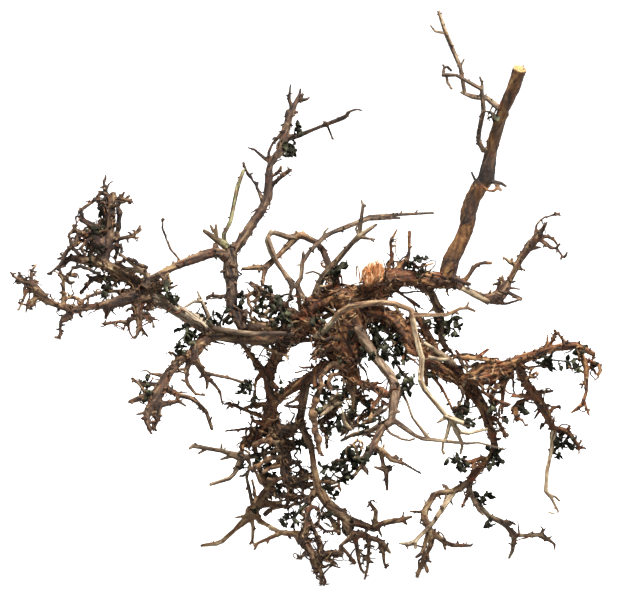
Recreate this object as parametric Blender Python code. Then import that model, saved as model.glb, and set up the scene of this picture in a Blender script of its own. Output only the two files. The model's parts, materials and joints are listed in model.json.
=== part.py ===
"""A dried, uprooted desert shrub: one woody skeleton of bare limbs and twigs, with a few dead leaves.

Every limb was sketched as a tapered strand in a frame of its own, in millimetres: across to the right, up
along the sketch and back into depth. LEAN tips that sketch onto the ground the shrub rests on.
"""
import math
from collections import OrderedDict

import bmesh
import bpy
from mathutils import Vector

for old in list(bpy.data.objects):
    bpy.data.objects.remove(old, do_unlink=True)

MM = 0.001
LEAN = math.radians(15)
GAP = 0.36
THINNEST = 0.6


def limb(start, end, *points):
    """A strand with known depth at both ends."""
    return {"start": start, "end": end, "points": points}


def twig(rise, *points):
    """A strand that grows from the strand nearest to its first point and goes back by rise."""
    return {"start": None, "rise": rise, "points": points}


def bridge(*points):
    """A strand that starts and ends on strands already there."""
    return {"start": None, "end": None, "points": points}


def blade(rise, tilt, *points):
    """A thin leaf, flat towards the front, turned by tilt degrees about its own length."""
    return {"start": None, "rise": rise, "points": points, "tilt": tilt}


# node: (grows on, bark, strands); a point is (across, up, radius), or (across, up, back, radius)
LIMBS = OrderedDict()

LIMBS["crown_heart"] = (None, "bark", [
    # the knotted middle of the shrub, where all the limbs meet
    limb(2, 8, (84, 296, 8), (74, 290, 10), (63, 287, 11), (50, 282, 12), (38, 280, 12), (26, 284, 9),
         (13, 279, 8), (2, 273, 9)),
    limb(5, 3, (45, 278, 12), (45, 264, 14), (44, 250, 15), (43, 236, 15), (41, 222, 13), (41, 211, 9),
         (43, 203, 6)),
    limb(6, 14, (50, 268, 10), (64, 268, 8.5), (77, 266, 7.5), (88, 261, 7)),
    limb(8, 13, (16, 280, 7), (6, 270, 10), (0, 259, 11), (-6, 250, 9), (-14, 244, 7.5)),
    limb(8, 6, (2, 262, 8), (8, 252, 6), (14, 244, 5), (22, 232, 7), (32, 222, 8)),
    twig(-6, (11, 276, 4), (12, 262, 3), (12, 250, 2.6), (10, 240, 1.6), (9, 235, 0.9)),
    twig(-16, (50, 254, 7), (55, 246, 4.5), (60, 238, 4), (66, 233, 2.6)),
    twig(2, (30, 288, 5), (31, 296, 3.2), (30, 304, 3), (27, 309, 2)),
    twig(-14, (36, 253, 5), (32, 247, 4.2), (29, 240, 3.6), (28, 232, 2)),
    limb(2, -46, (45, 202, 5), (52, 198, 3.2), (60, 195, 3.8), (70, 192, 2.8), (77, 188, 3.8), (83, 184, 3)),
    twig(-4, (77, 188, 2.4), (72, 181, 2.2), (67, 175, 2), (65, 171, 1.5)),
    twig(6, (70, 288, 6), (84, 289.5, 1.6), (91, 288.5, 1.2), (96, 286, 1), (101, 281, 0.9), (107, 276, 0.8),
         (119, 270, 0.6)),
    # crooked pieces down the left of the heart
    twig(-8, (36, 216, 5), (28, 217, 2.6), (18, 217, 2.8), (11, 212, 3.4), (8, 204, 3), (9, 193, 2)),
    twig(-12, (30, 236, 6), (21, 232, 3.4), (12, 228, 3.2), (9, 222, 1.6)),
    twig(-4, (12, 258, 3), (20, 250, 4), (28, 246, 5)),
])
LIMBS["crown_bar"] = ("crown_heart", "bark", [
    # the thick bar that carries the sawn stem
    limb(1, 0, (72, 290, 9), (80, 298, 9), (91, 303, 8.6), (103, 303, 7.6), (116, 301, 6.8), (129, 300, 7),
         (140, 299, 8), (149, 297, 6)),
    twig(-6, (88, 307, 4), (95, 313, 2.8), (100, 319, 2.6), (103, 326, 1.4), (103.5, 337, 1),
         (103.5, 345, 1), (103.5, 349.5, 1.7)),
    twig(-3, (99, 317, 2), (107, 317, 1.6), (112, 312.5, 1.2), (120, 314, 1), (128, 317, 0.8)),
    twig(-9, (80, 306, 2.4), (82, 313, 1.6), (85.5, 319.5, 1.5), (85.5, 326, 1.4), (84, 332, 1.1),
         (84.5, 338.5, 1.6), (87, 345, 0.9), (91.5, 351.5, 0.6)),
    twig(0, (85, 320, 1.3), (88, 327.5, 0.8)),
])
LIMBS["torn_stub"] = ("crown_bar", "heartwood", [
    # the torn end of a broken limb, with its heartwood bare
    limb(-12, -16, (66, 296, 9), (65, 303, 11), (65, 309, 10), (69, 314, 7), (73, 318, 2.4)),
    twig(-2, (59, 300, 6), (57, 306, 4.6), (55.5, 311, 2.4)),
    twig(2, (72, 303, 8), (77, 309, 5), (79, 314, 2)),
    twig(0, (62, 309, 6), (62, 315, 3), (63, 317.5, 1.2)),
])
LIMBS["sawn_stem"] = ("crown_bar", "bark", [
    # the thick stem, from the crown bar up to the saw cut
    limb(0, 0, (141, 303, 0, 8), (145, 320, -3, 8), (152, 333, -5, 7.6), (157, 343, -7, 7), (161, 355, -9, 7.2),
         (162, 367, -11, 7.6), (166, 380, -14, 7.4), (172, 391, -16, 7.4), (180, 401, -18, 8),
         (182.5, 412, -20, 6.5), (185, 430, -24, 5.8), (190, 448, -30, 5.4), (197, 470, -40, 5.8),
         (202, 480, -46, 5.8), (206.5, 490, -51, 6.1), (213, 510, -61, 6.6)),
    twig(0, (161, 349, 5), (167, 349.5, 2.6)),
    twig(0, (160, 367, 5), (154.5, 366, 2.4)),
    twig(0, (196, 465, 4), (202.5, 464, 1.8)),
    # thin pieces at the middle node: a blunt one to the right and an arc across the front
    limb(-20, -27, (180, 399, 2.6), (189, 398, 2), (195, 396.5, 1.5), (200.5, 393, 1)),
    twig(-5, (189, 398, 1.6), (191, 393, 1.8), (195, 389, 1.1)),
    limb(-27, -30, (191, 392, 1.4), (187, 388.5, 1.2), (181, 389.5, 1.1), (176, 393.5, 1.1),
         (171, 398, 1), (168, 401, 1.2), (165, 408, 0.8)),
    # the twig across the foot of the stem
    limb(-4, -16, (141, 306, 1.8), (146, 303.5, 1.5), (152, 300, 1.8), (158, 297, 2.1), (165, 295.5, 1.7)),
    twig(-6, (147, 303, 4), (154, 299, 2.2), (160, 301, 2.2), (165, 309, 1.8), (170, 315, 1.8), (176, 317, 1.7),
         (186.5, 317, 1.6)),
    twig(0, (164, 308, 1.2), (166.5, 315, 0.7)),
])
LIMBS["stem_twig_high"] = ("sawn_stem", "twig", [
    limb(-41, -29, (193, 471, 3), (187, 476, 2.5), (181, 481, 2.2), (174, 482.5, 2), (166, 483, 2.2),
         (160, 486, 1.8), (154, 487.5, 1)),
    twig(-11, (158.5, 486, 1.5), (158.5, 492, 1.7), (157, 501, 1.2), (154, 512, 1.6), (150, 523, 1.5),
         (144, 536, 1.6), (139.5, 546, 1.8), (136, 557, 1.4), (132, 568.5, 1.1)),
    twig(-6, (139.5, 546, 1.3), (134, 546.5, 1.1), (128.5, 548, 0.9), (124, 554, 0.6)),
    twig(2, (154, 513, 1), (158, 521, 0.6)),
])
LIMBS["stem_twig_low"] = ("sawn_stem", "twig", [
    limb(-24, -56, (184, 430, -24, 3), (177, 429, -29, 2.2), (172, 439, -36, 2), (172.5, 448, -42, 1.9),
         (174.5, 458, -48, 1.9), (177, 469, -54, 2), (176.5, 481, -56, 1.8), (175, 490, -57, 1.8),
         (166, 495.5, -57, 1.5), (158, 500, -56, 1.4), (150, 504, -55, 1.4), (142, 505, -54, 1.5),
         (135.5, 504.5, -53, 1.8)),
    twig(-2, (175.5, 489, 1.4), (175.5, 496, 1), (173, 503, 0.7)),
    twig(6, (137, 505, 1.3), (137.5, 511, 1.1), (140.5, 513, 1.1), (145.5, 508.5, 1)),
    twig(2, (140, 505, 1.1), (141, 497, 1.1), (143, 494, 1.6), (145.5, 490, 0.9)),
])
LIMBS["hook_limb"] = ("crown_bar", "bark", [
    # the limb with a hooked knee, to the right of the sawn stem
    limb(4, 9, (146, 296, 4, 4), (152, 294, 8, 2.8), (159, 291, 11, 2.6), (168, 287.5, 13, 2.8), (177, 283.5, 15, 3.2),
         (184, 281, 18, 5.6), (190, 282, 20, 7.2), (195.5, 286, 21, 6), (200, 293, 22, 3.8),
         (204, 300, 22, 2.9), (207.5, 307, 21, 2.8), (210.5, 314, 20, 3.8), (214.5, 321, 19, 3.2),
         (219, 329, 17, 4), (225, 336, 15, 4.6), (231, 342, 13, 3.6), (236, 350, 11, 2.3),
         (241.5, 358.5, 9, 0.9)),
    twig(-8, (228, 341, 1.9), (229, 349, 1.4), (230.5, 355, 1), (234, 359.5, 0.9), (239, 363, 0.8),
         (246, 365, 0.8), (254.5, 366, 0.8)),
    twig(5, (233, 343, 2.2), (242, 343.5, 1.9), (248, 340, 1.3), (252.5, 334, 0.9)),
    twig(-10, (232, 342, 2), (239.5, 336.5, 1.9), (245.5, 332, 1.9), (251, 331.5, 1.3), (254, 328, 1.3),
         (257.5, 322, 1)),
    twig(2, (221, 331, 3), (229, 331.5, 2.2), (236, 333, 0.7)),
    twig(-4, (211, 315, 2), (204.5, 317, 1.8), (200.5, 320, 1.4), (197, 323.5, 0.9)),
    twig(-1, (206, 316, 1.5), (206, 322, 1.1)),
    twig(-2, (211, 312, 1.5), (220, 309.5, 0.8)),
    twig(-5, (192, 286, 3), (193.5, 295, 2.6), (194, 303, 1)),
    twig(0, (194, 289, 2.4), (197, 298, 1.6), (196.5, 306, 0.8)),
    twig(4, (199, 291, 1.8), (207, 292, 1.1), (215, 290.5, 0.6)),
    twig(-6, (198, 290, 2), (206, 286, 1.6), (211, 282, 1.2), (216.5, 280, 1.9)),
    twig(-8, (192, 277, 1.8), (201, 276.5, 1.3), (207, 278.5, 1.1), (214, 280.5, 1)),
])
LIMBS["back_post"] = ("crown_bar", "bark", [
    # the short post that hangs behind the crown bar
    limb(4, 20, (112, 298, 6), (119, 292, 4.8), (126, 286, 3.8), (130, 276, 4), (133.5, 268, 4),
         (135, 258, 3), (135, 248, 2.8), (136, 240, 3), (139, 233, 2.6), (146, 228, 1)),
    twig(-2, (130, 273, 2.4), (124, 268.5, 0.8)),
])
LIMBS["pale_rib"] = ("crown_heart", "bleached", [
    # the bleached rib that arches over the front of the crown, then down and out to the right
    limb(0, 0, (10, 244, 6, 4), (15, 246, -6, 2.8), (20, 251, -14, 2.4), (27, 259.5, -20, 2.4), (34, 268, -24, 2.6),
         (45, 274, -27, 2.8), (59.5, 276.8, -29, 2.8), (75, 277.8, -31, 2.8), (90, 276, -33, 2.6),
         (100, 273, -36, 3), (105, 270, -38, 2.8), (107, 262, -40, 2.7), (107.5, 252, -41, 2.5),
         (109.5, 243, -42, 2.3), (113.5, 233, -44, 2.6), (115.5, 222, -46, 2.7), (114, 210, -48, 2.7),
         (114, 200, -49, 2.7), (118, 191, -48, 2.4), (126, 180, -45, 2.3), (134, 170, -42, 2.3),
         (139.5, 163.5, -40, 2.8), (146, 157, -38, 2.6), (153, 148.5, -35, 2.2), (162, 147, -32, 1.8),
         (171, 149, -29, 1.5), (182, 151.5, -26, 1.2)),
    twig(-6, (138, 165, 2.4), (146, 161.5, 2.1), (155, 158, 2), (164.5, 154, 2.3)),
    twig(-1, (140, 163, 1.8), (130, 157, 0.8)),
    twig(-2, (88, 275.5, 1.6), (92, 271, 1), (93.5, 267, 1), (97.5, 265, 1.1)),
    twig(24, (107, 265, 2.4), (118, 265, 2.2), (130, 264.5, 1.8), (140, 265, 1.7), (147, 269, 1.8),
         (154, 271.5, 1.6), (162, 272, 1.6), (166, 271, 1.4), (169.5, 268.5, 1.3)),
    twig(1, (147, 269, 1.2), (153.5, 265.5, 0.7)),
    twig(-3, (160, 272, 1.2), (163, 279, 0.7)),
    twig(3, (144, 160, 2.4), (141, 152, 1.6), (140, 143, 1.7), (137, 138, 1.2), (136, 130, 1.2), (138, 126, 1.6)),
    twig(3, (148, 153, 2.4), (152, 146, 2.2), (155, 139, 1.9), (156, 134, 1.5), (154, 126, 1.2)),
])
LIMBS["right_descender"] = ("crown_heart", "bark", [
    # the limb that runs down to the right from the crown
    limb(14, 40, (84, 264, 8), (93, 256, 7.4), (102, 246, 6.8), (113, 234, 6.6), (125, 219, 6.4),
         (138, 208, 7), (152, 203, 7), (164, 193, 6.6), (172, 182, 5.6), (178, 171, 4.8), (182, 160, 4.3),
         (184, 150, 4), (188, 140, 3.4), (188, 130, 3), (184, 122, 3), (177, 115, 3.2), (170, 107, 3.4),
         (163, 99, 4)),
    twig(-8, (160, 190, 3), (162, 182, 2), (160, 172, 1.8), (157, 165, 1.6)),
    twig(-2, (157, 165, 2.6), (153, 168, 2.4), (153, 176, 1.6), (157, 181, 0.8)),
    twig(-14, (100, 237, 4), (102, 231, 2), (99, 225, 1.6), (95, 218, 1.2)),
    twig(-10, (132, 221, 4), (128, 234, 4), (121, 247, 3.6), (113, 261, 3.2), (108, 268, 1.8)),
    twig(-6, (104, 244, 5), (106, 254, 3.6), (106, 262, 2.6)),
    twig(4, (122, 222, 4), (119, 212, 2.6), (120, 203, 2.4), (121, 193, 1.5)),
    twig(-4, (128, 209, 3), (127, 203, 1.6), (136, 192, 1.4), (142, 181, 1.2), (148, 168, 1.2)),
    twig(-12, (118, 228, 4), (108, 226, 2.6), (100, 231, 2.2)),
    twig(-12, (182, 160, 2.6), (190, 162, 1.6), (194, 155, 1.4), (199, 146, 2), (203, 142.5, 0.7)),
    twig(-10, (182, 120, 2.4), (177, 122, 2), (170, 121, 1.8), (162, 117.5, 1.8), (157, 120.5, 1.2)),
    twig(-6, (170, 120, 1.4), (168, 115, 1.2), (165.5, 111, 1)),
])
LIMBS["right_foot_front"] = ("right_descender", "bark", [
    limb(40, 23, (163, 98, 40, 3.6), (153, 91, 38, 3.2), (147, 88, 36, 3.4), (141, 88, 34, 3), (133, 87, 32, 2.8),
         (128, 85, 31, 3.2), (123.5, 77, 29, 3.4), (119.5, 70, 27, 3.4), (118, 63, 26, 3.8), (120.5, 56, 24, 3.4),
         (124, 50, 22, 3.4), (126.5, 42, 22, 2.7), (124, 33, 23, 2.3), (121, 26, 23, 2.4), (117, 19, 24, 2.2),
         (114, 12, 24, 2), (111.5, 6, 24, 2.5), (110.5, 2.4, 23, 1.8)),
    twig(-6, (122, 47, 2), (118, 36, 1.7), (116.5, 27, 2.4), (112, 24.5, 2.2), (109, 22, 1.2)),
    twig(-3, (117.5, 20, 1.5), (119.5, 12, 1.5), (122, 6.5, 1.7)),
    twig(-2, (121.5, 27, 1.4), (123, 20, 1)),
    twig(18, (125, 48, 3), (132, 43, 2.7), (140, 37, 2.5), (147, 34.5, 2.1), (157, 34, 1.7), (165, 34, 1.4),
         (168, 36.5, 0.7)),
    twig(-1, (137.5, 38, 1.6), (139.5, 29.5, 1.1)),
    twig(-4, (118, 68, 1.6), (110, 68.5, 1.1), (103, 68.5, 0.9)),
    twig(-3, (142, 89, 2.4), (140.5, 93.5, 1.5), (136.5, 95.5, 1)),
])
LIMBS["right_foot_pale"] = ("right_foot_front", "bleached", [
    twig(-34, (148, 88, 3), (142, 80, 2.5), (134, 68, 2.2), (127, 57, 2.1), (121, 50.5, 2.6), (113, 43, 2.1),
         (108, 38, 2.1), (102, 36, 1.9), (93, 37, 0.7)),
    twig(-1, (109.5, 38, 2), (109.5, 31, 1.4)),
])
LIMBS["right_foot_rear"] = ("right_descender", "bark", [
    limb(40, 88, (163, 98, 3.6), (164, 88, 3), (168, 80, 2.7), (176, 71, 2.6), (184, 62.5, 2.5), (193, 59, 2.8),
         (201, 53, 2.4), (207, 47, 2.9), (209, 43, 3), (208.5, 35, 1.9), (207, 28, 1.8), (203, 19.5, 1.1)),
    twig(6, (209, 44, 2.6), (214, 44, 1.8), (222, 44, 1.5), (230, 44, 1.5), (236, 44.5, 2.3), (243, 39, 1.6),
         (251, 34, 1.2)),
    twig(-1, (236, 45, 1.6), (238, 49, 1.4), (236.5, 52, 0.8), (233, 53, 0.6)),
    twig(-8, (166, 84, 1.6), (169.5, 75, 1.4), (173, 69, 1.3), (178, 64, 0.8)),
    twig(-4, (163, 85, 1.6), (160, 80, 1.2), (157.5, 74.5, 0.8)),
    twig(3, (196, 59, 1.6), (203, 57.5, 1.4), (211.5, 54.5, 0.7)),
])
LIMBS["right_arm"] = ("right_descender", "bark", [
    # the thick arm that reaches out to the right
    limb(20, -8, (158, 198, 6), (167, 206, 5), (178, 213, 5), (190, 213.5, 5.4), (200, 214.5, 5.6), (210, 218, 5.4),
         (220, 222, 4.2), (230, 226, 4), (240, 230, 3.4), (250, 232, 3.4), (262, 234, 4.4), (270, 235, 3.6),
         (274, 232, 3), (280, 229, 2.6), (289, 225, 2.4)),
    twig(-5, (192, 217, 3), (188, 220, 2.2), (180, 221, 1.7), (170, 221, 1.9), (160, 221.5, 1.7), (147, 223, 1.8)),
    twig(-2, (170, 221.5, 2), (176, 227, 1.8), (183, 231.5, 1.4)),
    twig(-2, (242, 231, 2), (246, 240, 1.2), (250.5, 248, 1.5), (255, 242, 1.6), (259, 237, 1.8)),
    twig(0, (241, 231, 1.6), (242, 240, 0.9), (241.5, 246, 0.6)),
    twig(8, (205, 214, 5), (204, 206, 4), (199, 199, 3), (197, 190, 2.2), (197, 178, 1.8), (196, 165, 1.1)),
    twig(2, (201, 208, 5), (190, 205, 5.4), (181, 201, 5.4), (172, 199, 5), (164, 200, 4)),
    twig(-8, (186, 212, 3), (181, 207, 2.2), (176, 198, 1.8), (177, 188, 1.6), (188, 180, 1.4), (196, 177, 1.8),
         (204, 175, 2)),
    twig(4, (214, 215, 2.6), (222, 212, 1.4), (232, 213, 1), (238, 215, 0.8)),
    twig(-4, (199, 199, 3), (190, 193, 3), (186, 184, 2.4), (186, 173, 2)),
    twig(-12, (272, 233, 3.2), (276, 222, 3), (280, 212, 2.8), (281, 204, 2.2), (281, 197, 1.8), (280, 188, 1.6),
         (278, 180, 1.7), (276, 175.5, 2.2), (270, 172, 1.8), (267, 167.5, 1.4), (264.5, 167, 1.1)),
    twig(-2, (278, 178, 1.4), (283, 164, 0.9)),
    twig(-6, (279, 220, 1.7), (287, 217, 1.8), (292, 216, 2), (293.5, 210, 1.4), (292, 203, 1), (288, 199, 0.7)),
    twig(4, (281, 214, 1.4), (288, 210, 1.2), (290, 205, 1)),
    twig(3, (281, 199, 1), (276.5, 195.5, 0.8), (275, 191, 0.7)),
])
LIMBS["lower_right_limb"] = ("right_arm", "bark", [
    # the limb that drops from the right arm
    twig(34, (211, 217, 5), (217, 205, 4.5), (219.5, 198, 4.2), (225, 190, 4.4), (232, 181, 5), (238, 171, 4.6),
         (243, 162, 3.7), (246, 155, 3.4), (248.5, 149, 3)),
    twig(8, (248, 151, 3), (258, 149.5, 2.6), (264, 146, 2.5), (269, 140, 2), (273, 133, 1.7), (277, 131.5, 1.2),
         (281.5, 131, 0.8)),
    twig(0, (272, 135, 1.4), (274, 126, 0.7)),
    twig(0, (262, 149, 1.6), (264, 154, 1.2)),
    twig(-6, (229, 187, 2.4), (236, 187, 1.6), (248, 189, 1)),
    twig(4, (243, 166, 2.4), (247, 171.5, 1.8), (253.5, 174, 1.2)),
    twig(-3, (236, 173, 2), (230, 164, 1.1), (228, 160, 0.9)),
    twig(4, (242, 159, 2), (237, 155, 0.9)),
    twig(-14, (228, 184, 2.6), (222, 183, 2), (213, 185, 1.8), (205, 184, 1.6)),
    twig(-6, (227, 182, 2), (219, 179, 1.6), (212, 178, 2), (209, 172, 3.6), (211, 165, 3), (211, 158, 1.6)),
    twig(-2, (211, 162, 1.6), (216, 160, 1.1), (219, 155, 0.8)),
    twig(-8, (216, 206, 2.6), (221, 201, 1.6), (226, 203.5, 1.4), (231.5, 208.5, 1.1)),
])
LIMBS["hanging_twig"] = ("lower_right_limb", "bleached", [
    # the long pale twig that hangs at the right
    twig(-12, (248, 152, 3), (247, 138, 2.1), (246, 130, 2.2), (243.5, 120, 2), (241.5, 110, 1.9), (241, 100, 1.8),
         (240.5, 93, 1.8), (240, 88.5, 2.3), (243, 86, 1.8), (245.5, 82, 1.7), (248, 77, 1.4), (251, 71, 1.1),
         (253, 67.5, 0.9), (247, 66.5, 0.8), (242, 68, 0.8)),
    twig(3, (244, 85, 1.4), (250, 83, 1), (254.5, 78.5, 0.8)),
    twig(4, (246, 133, 1.6), (252, 137, 1.2), (257, 142, 0.9)),
])
LIMBS["knee_limb"] = ("crown_heart", "bleached", [
    # the stripped limb with a gnarled knee, in front
    limb(-6, -60, (51, 252, -6, 5), (58, 240, -14, 4.2), (64, 231, -20, 4.2), (70, 222, -26, 4.6), (78, 213, -32, 4.6),
         (85, 204, -38, 4.6), (89, 195, -44, 5), (89.5, 186, -50, 5.2), (88, 176, -54, 5), (86, 168, -58, 4),
         (85, 158, -60, 3.8), (79, 155, -62, 3.2)),
    twig(-2, (88, 170, 2.4), (94, 168, 1)),
    twig(14, (83, 160, 2.6), (77, 156, 3), (70, 152, 2.6), (63, 149, 2.4), (57, 147.5, 1.8), (48, 146.5, 1.8),
         (40, 143, 1.6), (34, 139, 1.3)),
    twig(-8, (88, 160, 3), (95, 154, 2.4), (101, 150, 2), (108, 145.5, 2.2), (116, 142, 2.2), (125, 140, 1.9),
         (135, 139.5, 1.6), (150, 138.5, 1.6), (160, 137, 1.3), (172, 138, 1.1), (182, 135.5, 1.4),
         (190, 132.5, 1.3), (199, 131, 0.6)),
    twig(-5, (84, 160, 1.6), (80, 152, 1.4), (84, 147, 1.2), (95, 141.5, 1), (103, 140, 0.9), (109, 142, 0.8)),
    twig(-10, (92, 190, 3), (96, 187, 1.5), (101, 178, 1.1), (106, 163, 1.2), (112, 155, 1.4), (119, 147, 1.7),
         (123, 141, 2)),
])
LIMBS["knee_foot"] = ("knee_limb", "bark", [
    limb(-62, -88, (77, 155, 3.4), (72, 147, 3.5), (69, 141, 3.8), (67, 135, 4), (64, 130, 3), (60, 125, 2.8),
         (57, 120, 3.2), (56.5, 115, 2.8), (59, 112, 1.6), (61, 108, 1.3), (62.5, 105, 0.7)),
    twig(-2, (56, 116, 2.2), (53, 112, 2), (49, 107, 1.6), (44.5, 100, 1.3)),
    twig(-8, (58, 122, 2.2), (50, 123, 1.4), (43, 121, 1.3), (36, 120, 1.5), (29, 121, 1.7)),
    twig(-3, (43, 121.5, 1.1), (40, 128, 1), (41, 133, 0.9), (45, 135, 0.7)),
    twig(-2, (51, 123, 1.1), (51, 133, 0.8), (54, 140, 0.7)),
    twig(-10, (68, 133, 3), (76, 130, 2.6), (81, 126, 2.6), (85, 121.5, 2.6), (92, 119, 1.8), (98, 117, 1.4),
         (103, 113, 1.6), (110, 109, 1.1), (115.5, 106.5, 0.8)),
    twig(0, (85, 122, 1.2), (90, 125.5, 0.9), (93, 122, 0.7)),
    twig(2, (77, 131, 1.2), (78, 138, 0.8)),
    twig(5, (74, 130, 2.4), (76, 122, 2.3), (77, 116, 2), (80, 110, 2.6), (80, 102, 2), (80, 95, 1.2), (81, 89, 1.5)),
    twig(-4, (79, 111, 2.4), (74, 113, 1.5), (67, 114, 0.8)),
    twig(2, (79, 112, 2.4), (83.5, 113, 3.4), (85, 110, 2)),
])
LIMBS["centre_limb"] = ("crown_heart", "bark", [
    limb(3, -6, (43, 207, 6.5), (46, 196, 5), (48, 188, 4.4), (49, 180, 3.2), (48.5, 172, 2.4), (47.5, 163, 1.8),
         (46, 155, 1.2)),
    twig(-8, (49, 189, 2.8), (56, 181, 2.4), (60, 175, 2.2), (65, 170, 2.2), (60, 165, 2.2), (54, 161, 2.6),
         (48, 156, 2.4), (43, 152, 2.2), (39, 148, 1.9), (34, 144, 1.1)),
    twig(-2, (41, 151, 1.9), (39, 158, 1.5), (38, 168, 1.6)),
    twig(-3, (65, 170, 1.4), (72, 169, 1.3), (76, 172, 1.5), (77, 181, 1.2)),
    twig(-4, (49, 186, 3), (55, 183, 3), (58, 177, 2.4), (64, 173, 2)),
    twig(12, (44, 196, 4), (40, 190, 2.6), (37, 182, 2.4), (33, 176, 2.4), (27, 168, 3), (20, 162, 2.4), (12, 158, 2)),
    twig(-6, (33, 176, 2), (30, 175, 1.8), (25, 174.5, 2), (19, 171, 2.4), (12, 167, 2.6), (5, 164, 2.2)),
    twig(-3, (22, 173, 1.9), (24, 180, 1.7), (27, 187, 1.4)),
    twig(-2, (28, 175, 1.6), (32, 186, 1.3)),
    twig(5, (14, 159, 1.8), (16, 152, 1.8), (20, 147, 1.6), (20.5, 140, 1.4), (20.5, 131, 0.8)),
    twig(2, (7, 165, 1.8), (8, 155, 1.6), (8.5, 148, 1.3), (9, 140, 1), (12.5, 133.5, 0.7)),
])
LIMBS["left_shoulder"] = ("crown_heart", "bark", [
    # the gnarled mass where the left limbs leave the crown
    limb(13, 4, (-8, 253, 9), (-18, 247, 9), (-28, 243.5, 7.5), (-38, 242, 6.5), (-48, 241, 6.5), (-58, 241, 6),
         (-70, 242.5, 6), (-82, 244.5, 6), (-92, 247, 7), (-102, 248, 7.5)),
    twig(-6, (-30, 248, 6), (-41, 253, 6), (-50, 254, 6), (-58, 254, 5)),
    twig(-8, (-20, 252, 6), (-16, 264, 5), (-22, 274, 4), (-32, 281, 3.6), (-41, 288, 4), (-47, 291, 3)),
    twig(-2, (-45, 290, 2.4), (-52, 288, 2), (-58, 285, 2), (-58, 277, 1.5), (-53, 270, 1.4), (-46, 265.5, 1.5),
         (-40, 263, 1.5), (-33, 261, 2), (-26, 257, 2)),
    twig(-2, (-46, 288, 2.6), (-49, 281, 2), (-53, 277, 1.6)),
    twig(-3, (-44, 291, 1.8), (-51, 295.5, 1.3), (-57, 298.5, 1.1)),
    twig(-6, (-8, 264, 4), (-13, 271, 2.2), (-17, 268, 2)),
    twig(4, (-20, 275, 2), (-18, 279, 1.4), (-13, 281, 1)),
    twig(0, (-34, 279, 2), (-36, 274, 1.4), (-44, 272.5, 1.4), (-51, 273, 1.2)),
    twig(-5, (-44, 244, 3), (-41, 233, 1.8), (-36, 229.5, 1.5), (-29, 228, 1.3), (-19, 224, 1), (-16.5, 219.5, 0.7)),
])
LIMBS["left_post"] = ("left_shoulder", "bark", [
    # the upright stub on the left
    limb(4, 25, (-62, 250, 5), (-67, 258, 5.5), (-71, 266, 5.8), (-74, 274, 5.4), (-75, 281, 5.8), (-74.5, 288, 4.9),
         (-74.5, 298, 5.2), (-75, 303, 8), (-75, 312, 8), (-76, 322, 6.6), (-76, 331, 6.4)),
    twig(-6, (-73, 284, 3), (-85, 284, 1.3), (-95, 284.5, 1.8), (-100, 282, 1.8)),
    twig(-2, (-71, 284, 3), (-65, 285.5, 1.2), (-59, 283, 1.2)),
    twig(-4, (-70, 264, 4), (-76, 265, 2), (-82, 260, 1.5), (-83, 254, 1.2)),
    twig(-7, (-68, 262, 4), (-64, 268, 2.6), (-60, 270, 2), (-60, 262, 2)),
])
LIMBS["upright_limb"] = ("left_post", "bark", [
    # the tall limb on the left
    limb(25, 88, (-74.5, 329, 6), (-68, 335, 4.8), (-63.6, 343, 4.8), (-58.6, 351, 5), (-52.6, 358, 5), (-48.2, 365, 5),
         (-45.4, 369, 4.2), (-41.8, 375, 4.8), (-38, 383, 4.6), (-37, 391, 4.6), (-37, 401, 3.9), (-37, 411, 3.4),
         (-35, 419, 3.4), (-30, 425, 3.9), (-25, 430, 4.2), (-22.5, 438, 4.4), (-20.5, 446, 4.3), (-18.5, 455, 3.2),
         (-16.5, 466, 3.4), (-12.5, 474, 2.8), (-9.5, 480, 2.3), (-6.5, 486, 1.6), (-5.5, 493, 1)),
    twig(0, (-17, 462, 3), (-19.5, 467, 2.4), (-18, 471, 1.4)),
    twig(-5, (-14, 473, 2.2), (-17, 481, 1.7), (-17, 487, 1.6), (-15.5, 497, 0.7)),
    twig(-3, (-9, 480, 2), (-3, 480.5, 1.7), (1, 481.5, 1.3), (4, 484, 0.8)),
    twig(-2, (-6, 482, 1.8), (-3, 488, 1)),
    twig(0, (-14, 468, 1.6), (-7.5, 468.5, 0.9)),
    twig(-24, (-20, 442, 3.4), (-13, 443.5, 3), (-7, 445, 2.4), (0, 448, 2), (8, 451.3, 1.6), (16, 455, 1.8),
         (24, 457.8, 1.5), (32, 460.4, 1.5), (39.5, 463.5, 2.3), (44, 469, 1.3), (50, 471, 1.1), (57, 469.8, 0.7)),
    twig(4, (16, 455, 1.4), (22, 454, 1.1), (25, 449, 1), (27, 440.7, 0.8)),
    twig(-6, (-37, 419, 2.2), (-37.5, 428, 1.4), (-34, 436, 1.3), (-30, 441, 1.4), (-26, 447, 1.6), (-22, 450, 2)),
    twig(8, (-37, 418, 2), (-43, 424, 1.4), (-48, 428, 1.1), (-52, 431, 1.2), (-59, 433, 0.7)),
    twig(-12, (-37, 393, 3), (-30, 399, 1.8), (-24, 403.5, 1.7), (-18, 409, 2), (-14, 410.5, 1.5)),
    twig(-5, (-37, 404, 2), (-30, 406, 1.3), (-26, 410, 1.6), (-25, 414.5, 1.2)),
    twig(10, (-42, 376, 2.6), (-46, 387, 1.3), (-50, 395, 1.2), (-55, 402.5, 1.2), (-60, 409, 1), (-64, 418, 0.7)),
    twig(2, (-55, 402.5, 1), (-55.5, 406.5, 0.8), (-53, 407.5, 0.7)),
])
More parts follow.
